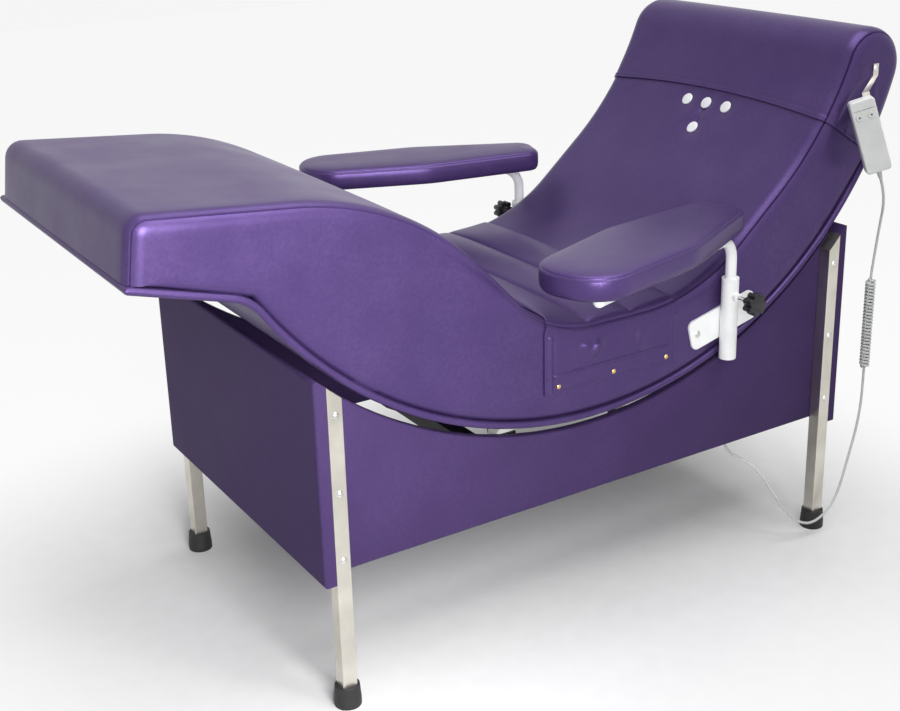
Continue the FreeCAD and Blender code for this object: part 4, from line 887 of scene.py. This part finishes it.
# %% Head cover
HEAD_HEM_BELOW_BEND = 0.105
HEM_SAG = 0.015
HEM_SAG_REACH = 0.15
HEAD_HEM_ANGLE = 63.5
COVER_EASE = 0.0032
COVER_CLOTH = 0.0024
HEM_FOLD = 0.009
HEM_PROUD = 0.0006
HEM_STITCH = HEM_FOLD - 0.003
HEM_GROOVE = (HEM_FOLD - 0.002, HEM_FOLD + 0.001)
HEM_ROWS = (0.0, 0.004, HEM_STITCH, HEM_FOLD, HEM_FOLD + 0.003)
HEAD_ROWS = 42
CHEEK_ROWS = 17
CHEEK_CREASE = 0.0075
CHEEK_CREASES = 11
CREASE_FADE = 0.035
CHEEK_INSIDE_BAND = 0.003
CHEEK_RADIUS = CUSHION_RADIUS - EDGE_RADIUS + EDGE_CROWN - CHEEK_INSIDE_BAND
hem_start = bend_end - HEAD_HEM_BELOW_BEND
hem_end = outline_length - CUSHION_RADIUS * radians(HEAD_HEM_ANGLE - BOARD_HEAD_ANGLE)
hem_low = side_edge(hem_start - HEM_SAG)
hem_way = -outline_at(hem_start)[1]
from_rock = hem_low - ROCK
across_rock = from_rock @ hem_way
to_board = sqrt(across_rock ** 2 + CHEEK_RADIUS ** 2 - from_rock @ from_rock) - across_rock
hem_high = hem_low + hem_way * to_board
hem_up = left_of(hem_way)
cheek_end = side_edge(hem_end)
cheek_line = straight(hem_low, hem_high) + arc(ROCK, hem_high, cheek_end) + [cheek_end]
head_stations = [hem_start + above for above in HEM_ROWS]
head_stations += list(np.linspace(hem_start + 2 * HEM_FOLD, hem_end, HEAD_ROWS))


def sagged(distance, across):
    """Distance along the outline after the hem has been pulled down towards the sides."""
    fade = max(0.0, 1 - (distance - hem_start) / HEM_SAG_REACH) ** 2
    return distance - HEM_SAG * fade * min(1.0, abs(across) / FLAT_HALF) ** 2


def hem_ease(above):
    """How far the cover stands off the mattress, by its distance above the hem."""
    if above < HEM_GROOVE[0]:
        return COVER_EASE + HEM_PROUD
    return COVER_EASE - (HEM_PROUD if above < HEM_GROOVE[1] else 0.0)


def head_side(side):
    """The cover's cheek: ruled from its hem and the board to the rounded edge."""
    rows = []
    for share in np.linspace(0, 1, CHEEK_ROWS):
        row = []
        for i, d in enumerate(head_stations):
            low = cheek_line[round((len(cheek_line) - 1) * i / (len(head_stations) - 1))]
            place = low + (side_edge(sagged(d, HALF_WIDTH)) - low) * share
            above = (place - hem_low) @ hem_up
            turn = atan2(place[1] - bolster[1], place[0] - bolster[0])
            inside = min(above, CHEEK_RADIUS - norm(place - ROCK), CREASE_FADE)
            crease = CHEEK_CREASE * sin(CHEEK_CREASES * turn) * (1 - share) * share
            face = HALF_WIDTH + hem_ease(above) * (1 - share) + COVER_EASE * share
            face += crease * max(0.0, inside / CREASE_FADE)
            row.append((place[0], side * face, place[1]))
        rows.append(row)
    return panel(rows)


def head_row(distance, ease):
    return [over_couch(sagged(distance, y), y, h) for y, h in even_section(ease)]


head_top = panel([head_row(d, hem_ease(d - hem_start)) for d in head_stations])
head_cover = sewn("head_cover_vinyl", head_top, head_side(-1), head_side(1), closed=False)
modified(head_cover, "SOLIDIFY", thickness=COVER_CLOTH, offset=-1.0)
upholstered(head_cover, 50, "couch", "head_cover")

# %% Head cover stitches
hem_stitched = np.linspace(0.04, 0.9, 12)
head_rows = [head_row(hem_start + HEM_STITCH, COVER_EASE + HEM_PROUD)]
for side in (-1, 1):
    head_rows.append(edge_line(side, STITCH_ANGLE, COVER_EASE - STITCH_SINK, head_stations[4:]))
    hem_line = [hem_low + hem_up * HEM_STITCH + (hem_high - hem_low) * t for t in hem_stitched]
    face = side * (HALF_WIDTH + COVER_EASE + HEM_PROUD)
    head_rows.append([(x, face, z) for x, z in hem_line])
thread("head_thread", "couch", head_rows)
print(len(head_rows), "rows of stitches")

# %% [markdown]
# ## The backrest's buttons
# Four flat plastic buttons are laced through the foam, so each sits at the bottom of its dimple.
# A button is a low drum with a rounded rim.

# %% Buttons
BUTTON_RADIUS = 0.012
BUTTON_HEIGHT = 0.0034
BUTTON_RIM = 0.0012
BROKEN_EDGE = 35.0


def bevelled(obj, width, segments):
    """Rounds the edges that turn sharply, and smooths the rest."""
    modified(obj, "BEVEL", width=width, segments=segments, limit_method="ANGLE",
             angle_limit=radians(BROKEN_EDGE))
    smooth(obj, BROKEN_EDGE)


buttons = []
for distance, across in button_spots:
    place, out = outline_at(distance)
    x, z = place + out * (MIDDLE_CROWN - DIMPLE_DEPTH + BUTTON_HEIGHT / 2)
    buttons.append(added(
        bpy.ops.mesh.primitive_cylinder_add, vertices=40, radius=BUTTON_RADIUS, depth=BUTTON_HEIGHT,
        location=(x, across, z), rotation=(0, atan2(out[0], out[1]), 0),
    ))
back_buttons = joined("back_buttons_flat", buttons)
bpy.ops.object.transform_apply(location=True, rotation=True, scale=True)
bevelled(back_buttons, BUTTON_RIM, 3)
dressed(back_buttons, WHITE_PLASTIC)
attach(back_buttons, "couch")
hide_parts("back_buttons")
print(len(button_spots), "buttons")

# %% [markdown]
# ## The seat cover
# A quilted apron lies over the seat: three padded channels across the couch, with a flap down each
# side that is bound, hemmed and held by brass studs. The flap is loose, so it hangs in a few folds.
# Each has a place, a width, a depth, a slant, a share of the drop where it is deepest and a reach.

# %% Seat cover
SEAT_COVER_FRONT = -0.0555
CHANNELS = 3
CHANNEL_WIDTH = 0.090
CHANNEL_RISE = 0.015
CHANNEL_FULLNESS = 0.4
GROOVE_RISE = 0.0035
EDGE_PADDING = 0.45
STEPS_PER_CHANNEL = 24
INNER_FROM = 0.17
FLAP_BOTTOM = 0.431
FLAP_EASE = 0.0030
FLAP_HEM = 0.032
FLAP_HEM_PROUD = 0.0010
FLAP_HEM_GROOVE = 0.001
FLAP_CLOTH = 0.0022
FLAP_ROWS = 46
BINDING = 0.010
BINDING_PROUD = 0.0034
BINDING_GROOVE = 0.0022
BINDING_GROOVE_WIDTH = 0.0022
BINDING_COLUMNS = (0.0012, 0.0032, 0.0052, 0.0074, 0.0092, 0.0104, 0.0118, 0.0135)
FOLD_STARTS = 1 / 8
FOLDS = (
    (0.020, 0.0090, 0.0070, 0.0, 0.14, 0.17),
    (0.048, 0.0100, 0.0096, 0.5, 0.20, 0.26),
    (0.1245, 0.005, -0.0034, 0.0, 0.14, 0.20),
    (0.140, 0.012, 0.0030, 0.1, 0.25, 0.25),
    (-0.025, 0.016, 0.0020, 0.0, 0.45, 0.35),
)
SEAT_COVER_BACK = SEAT_COVER_FRONT + CHANNELS * CHANNEL_WIDTH
seat_from = distance_where(lambda p: p[0] > SEAT_COVER_FRONT)
seat_to = distance_where(lambda p: p[0] > SEAT_COVER_BACK)
seat_shares = np.linspace(0, CHANNELS, CHANNELS * STEPS_PER_CHANNEL + 1)
binding_shares = [column / CHANNEL_WIDTH for column in BINDING_COLUMNS]
far_binding = [CHANNELS - share for share in reversed(binding_shares)]
inner_shares = [share for share in seat_shares if INNER_FROM < share < CHANNELS - INNER_FROM]
seat_shares = [0.0, *binding_shares, *inner_shares, *far_binding, CHANNELS]
seat_stations = [seat_from + (seat_to - seat_from) * share / CHANNELS for share in seat_shares]


def channel_rise(share):
    swell = sin(pi * (share % 1)) ** CHANNEL_FULLNESS
    return GROOVE_RISE + (CHANNEL_RISE - GROOVE_RISE) * swell


def seat_row(distance, rise):
    """One line across the cover: full in the middle, thin where it turns down over the edge."""
    def edge(turned):
        return FLAP_EASE + (rise * EDGE_PADDING - FLAP_EASE) * turned ** 2

    def top(share):
        return rise * (1 - (1 - EDGE_PADDING) * share ** 6)

    return [over_couch(distance, y, h) for y, h in section(edge, top)]


def flap_face(x, z, top):
    """Half width of the flap, with its folds, the bindings of its ends and the hem."""
    drop = (top - z) / (top - FLAP_BOTTOM)
    face = HALF_WIDTH + FLAP_EASE
    for place, width, depth, slant, middle, reach in FOLDS:
        fade = exp(-((drop - middle) / reach) ** 2) * min(1.0, drop / FOLD_STARTS)
        face += depth * fade * exp(-((x - place - slant * (z - top)) / width) ** 2)
    from_end = min(x - SEAT_COVER_FRONT, SEAT_COVER_BACK - x)
    above = z - FLAP_BOTTOM
    if from_end < BINDING:
        face += BINDING_PROUD * sqrt(max(0.0, 1 - (2 * from_end / BINDING - 1) ** 4))
    elif from_end < BINDING + BINDING_GROOVE_WIDTH:
        face -= BINDING_GROOVE
    elif above < FLAP_HEM - FLAP_HEM_GROOVE:
        face += FLAP_HEM_PROUD
    elif above < FLAP_HEM + FLAP_HEM_GROOVE:
        face -= FLAP_HEM_PROUD
    return face


def flap_panel(side):
    rows = []
    for share in np.linspace(0, 1, FLAP_ROWS):
        row = []
        for d in seat_stations:
            x, top = side_edge(d)
            z = FLAP_BOTTOM + (top - FLAP_BOTTOM) * share
            face = flap_face(x, z, top) if share < 1 else HALF_WIDTH + FLAP_EASE
            row.append((x, side * face, z))
        rows.append(row)
    return panel(rows)


seat_rows = [seat_row(d, channel_rise(s)) for d, s in zip(seat_stations, seat_shares)]
seat_top = panel(seat_rows)
seat_cover = sewn("seat_cover_vinyl", seat_top, flap_panel(-1), flap_panel(1), closed=False)
modified(seat_cover, "SOLIDIFY", thickness=FLAP_CLOTH, offset=-1.0)
upholstered(seat_cover, 60, "couch", "seat_cover")
print("seat cover", len(seat_cover.data.polygons), "faces")

# %% Seat cover stitches
FLAP_STITCH_INSET = BINDING + 0.003
STITCH_FROM_EDGE = 0.004
FLAP_SEAM_ANGLE = SEAM_ANGLE - 7.0
flap_rows = []
for side in (-1, 1):
    front_x, front_top = side_edge(seat_stations[1])
    rear_x, rear_top = side_edge(seat_stations[-2])
    for above in (STITCH_FROM_EDGE, FLAP_HEM - STITCH_FROM_EDGE):
        line_z = FLAP_BOTTOM + above
        xs = np.linspace(front_x, rear_x, 40)
        flap_rows.append([(x, side * flap_face(x, line_z, front_top), line_z) for x in xs])
    flap_rows.append(edge_line(side, FLAP_SEAM_ANGLE, FLAP_EASE, seat_stations[2:-2]))
    front_x, rear_x = front_x + FLAP_STITCH_INSET, rear_x - FLAP_STITCH_INSET
    for x, top in ((front_x, front_top), (rear_x, rear_top)):
        zs = np.linspace(FLAP_BOTTOM + STITCH_FROM_EDGE, top - STITCH_FROM_EDGE, 24)
        flap_rows.append([(x, side * flap_face(x, z, top), z) for z in zs])
thread("seat_thread", "couch", flap_rows)
print(len(flap_rows), "rows of stitches")

# %% [markdown]
# ## The arm pads
# Each armrest is a foam tongue on a steel plate, covered by a top panel and a band that meet in a
# seam round the upper edge. Its rings are the plan outline, drawn in towards a line down the
# middle, each at its own height. The band's own seam is a fine pinch across it.

# %% Arm pads
SOCKET_X = 0.3215
SOCKET_Y = -0.318
ARM_TURN = radians(180 + 18.5)
PAD_BOTTOM = 0.650
PAD_OFFSET = -0.032
PAD_CORNERS = ((-0.025, 0.048), (0.214, 0.088), (0.4595, 0.074))
PAD_RADII = (0.034, 0.160, 0.070)
PAD_SPINE = (0.016, 0.394)
PAD_POINTS = 132
PAD_RINGS = (
    (0.0300, 0.0004), (0.0180, -0.0012), (0.0100, -0.0034), (0.0040, -0.0022),
    (0.0010, 0.0030), (0.0000, 0.0100), (0.0000, 0.0200), (0.0006, 0.0275),
    (0.0018, 0.0312), (0.0042, 0.0322), (0.0044, 0.0340), (0.0072, 0.0356),
    (0.0120, 0.0370), (0.0200, 0.0383), (0.0320, 0.0392), (0.0480, 0.0398),
)
PAD_STITCH_RING = (0.0010, 0.0292)
BAND_SEAM_SHARE = 0.955
BAND_SEAM_WIDTH = 0.002
BAND_SEAM_DEPTH = 0.0014
BAND_INSET = 0.004
rear_middle = (PAD_CORNERS[0][0], 0.0)
far_corners = [(x, -y) for x, y in reversed(PAD_CORNERS)]
pad_corners = np.array([rear_middle, *PAD_CORNERS, *far_corners, rear_middle])
pad_line = np.array(rounded(pad_corners, PAD_RADII + PAD_RADII[::-1]) + [pad_corners[-1]])
pad_walked = way_along(pad_line)
pad_shares = np.linspace(0, 1, PAD_POINTS + 1)
pad_outline = [place_at(share * pad_walked[-1], pad_line, pad_walked) for share in pad_shares]


def pad_ring(inset, height, side):
    """The plan outline drawn in by an inset, in its place on one side of the couch."""
    ring = []
    for share, p in zip(pad_shares, pad_outline):
        spine = np.array([min(max(p[0], PAD_SPINE[0]), PAD_SPINE[1]), 0.0])
        from_seam = (share - BAND_SEAM_SHARE) / BAND_SEAM_WIDTH
        pinch = BAND_SEAM_DEPTH * exp(-from_seam ** 2) if inset < BAND_INSET else 0.0
        reach = norm(p - spine)
        x, y = spine + (p - spine) * max(0.0, reach - inset - pinch) / reach
        y += PAD_OFFSET
        place_x = SOCKET_X + x * cos(ARM_TURN) - y * sin(ARM_TURN)
        place_y = SOCKET_Y + x * sin(ARM_TURN) + y * cos(ARM_TURN)
        ring.append((place_x, -side * place_y, PAD_BOTTOM + height))
    return ring


for side, label in ((-1, "left"), (1, "right")):
    rings = [pad_ring(inset, height, side) for inset, height in PAD_RINGS]
    pad = sewn("arm_pad_vinyl_" + label, panel(rings))
    upholstered(pad, 60, "arm_" + label, "arm_pad_" + label)
    thread("arm_thread_" + label, "arm_" + label, [pad_ring(*PAD_STITCH_RING, side)])
print("two arm pads of", len(PAD_RINGS), "rings")

# %% [markdown]
# ## Softened edges
# A wrapped board has a padded corner, and cut steel or moulded plastic has its edges broken. These
# pieces are the CAD shapes with the flats joined up again and their edges rounded by a bevel.

# %% Rounded hard parts
MERGE = 0.00002
FLAT = radians(0.5)


def softened(name, finish, width, segments=2):
    """A copy of a CAD node with its edges rounded, in that node's place."""
    piece = nodes[name].copy()
    piece.data = nodes[name].data.copy()
    piece.name = piece.data.name = name + "_finished"
    piece.parent = None
    bpy.context.scene.collection.objects.link(piece)
    select_only(piece)
    bpy.ops.object.mode_set(mode="EDIT")
    bpy.ops.mesh.select_all(action="SELECT")
    bpy.ops.mesh.remove_doubles(threshold=MERGE)
    bpy.ops.mesh.dissolve_limited(angle_limit=FLAT)
    bpy.ops.object.mode_set(mode="OBJECT")
    bevelled(piece, width, segments)
    dressed(piece, finish)
    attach(piece, node_body[name])
    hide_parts(name)


for side in SIDES:
    softened("side_panel_" + side, SHADED_PANEL_VINYL, 0.004, 3)
    softened("arm_plate_" + side, WHITE_COAT, 0.0012)
    softened("clamp_knob_" + side, BLACK_PLASTIC, 0.0015)
for foot in each("foot", CORNERS):
    softened(foot, BLACK_RUBBER, 0.0020)
print("ten pieces with rounded edges")

# %% [markdown]
# ## Floor and light
# The couch stands on a plain pale floor under soft studio light: one broad lamp overhead, a small
# one high on the near side and one beside the foot end. The world and the open floor look nearly
# white to the camera and to reflections. The world gives the surfaces less light, and the floor's
# glow fades out around the base: a soft painted shade under the couch, in which its shadow stays.

# %% Floor
FLOOR_SIZE = 16.0
FLOOR_GLOW = 0.90
BASE_HALF = (0.45, 0.30, 1.0)
SHADOW_FADE = 0.7


def seen_directly(tree):
    """1 for what is seen, also in a mirror or through a glass, and 0 for light on a surface."""
    rays = add_node(tree, "ShaderNodeLightPath").outputs
    seen = rays["Is Camera Ray"]
    for other in (rays["Is Glossy Ray"], rays["Is Transmission Ray"]):
        links = {0: seen, 1: other}
        seen = add_node(tree, "ShaderNodeMath", links, operation="MAXIMUM").outputs["Value"]
    return seen


floor = added(bpy.ops.mesh.primitive_plane_add, size=FLOOR_SIZE)
floor.name = "floor"
floor_paint = moulded("pale_floor", "#F4F4F4", "#F7F7F7", 0.6, 0.004, 0.0001)
tree = floor_paint.node_tree
glow = add_node(tree, "ShaderNodeEmission", values={"Strength": 1.0})
past_base = object_coords(tree)
for step, other in (("ABSOLUTE", {}), ("SUBTRACT", {1: BASE_HALF}), ("MAXIMUM", {1: (0, 0, 0)})):
    past_base = add_node(
        tree, "ShaderNodeVectorMath", {0: past_base}, other, operation=step,
    ).outputs["Vector"]
clear = add_node(tree, "ShaderNodeVectorMath", {0: past_base}, operation="LENGTH").outputs["Value"]
# The glow fades to nothing around the base's footprint: painted shade under the couch.
open_floor = add_node(
    tree, "ShaderNodeMapRange", {"Value": clear},
    {"From Max": SHADOW_FADE, "To Max": FLOOR_GLOW}, interpolation_type="SMOOTHSTEP",
).outputs["Result"]
links = {0: seen_directly(tree), 1: open_floor}
share = add_node(tree, "ShaderNodeMath", links, operation="MULTIPLY").outputs["Value"]
paint = tree.nodes["Principled BSDF"].outputs["BSDF"]
links = {0: share, 1: paint, 2: glow.outputs["Emission"]}
blend = add_node(tree, "ShaderNodeMixShader", links).outputs["Shader"]
tree.links.new(blend, tree.nodes["Material Output"].inputs["Surface"])
dressed(floor, floor_paint)
print("floor", FLOOR_SIZE, "m wide")

# %% Lamps and world
SURFACE_LIGHT = 0.16
SEEN_LIGHT = FLOOR_GLOW + (1 - FLOOR_GLOW) * SURFACE_LIGHT
LAMPS = (
    ("overhead", (0.45, -0.55, 3.1), (0.35, -0.1, 0.6), 2.4, 180.0, 60.0),
    ("near_high", (0.26, -1.54, 2.29), (0.40, -0.30, 0.70), 0.4, 180.0, 8.0),
    ("near_side", (-0.72, -1.6, 1.1), (-0.6, -0.3, 0.65), 0.8, 85.0, 12.0),
)
for name, place, target, size, spread, power in LAMPS:
    lamp = placed(name, bpy.data.lights.new(name, "AREA"))
    lamp.data.size = size
    lamp.data.spread = radians(spread)
    lamp.data.energy = power
    lamp.location = place
    lamp.rotation_euler = (Vector(target) - Vector(place)).to_track_quat("-Z", "Y").to_euler()

world = bpy.data.worlds.new("studio")
bpy.context.scene.world = world
world.use_nodes = True
sky = world.node_tree
background = sky.nodes["Background"]
background.inputs["Color"].default_value = (1, 1, 1, 1)
level = add_node(
    sky, "ShaderNodeMapRange", {"Value": seen_directly(sky)},
    {"To Min": SURFACE_LIGHT, "To Max": SEEN_LIGHT},
)
sky.links.new(level.outputs["Result"], background.inputs["Strength"])
bpy.context.scene.view_settings.view_transform = "Standard"
print(len(LAMPS), "lamps and a pale world")
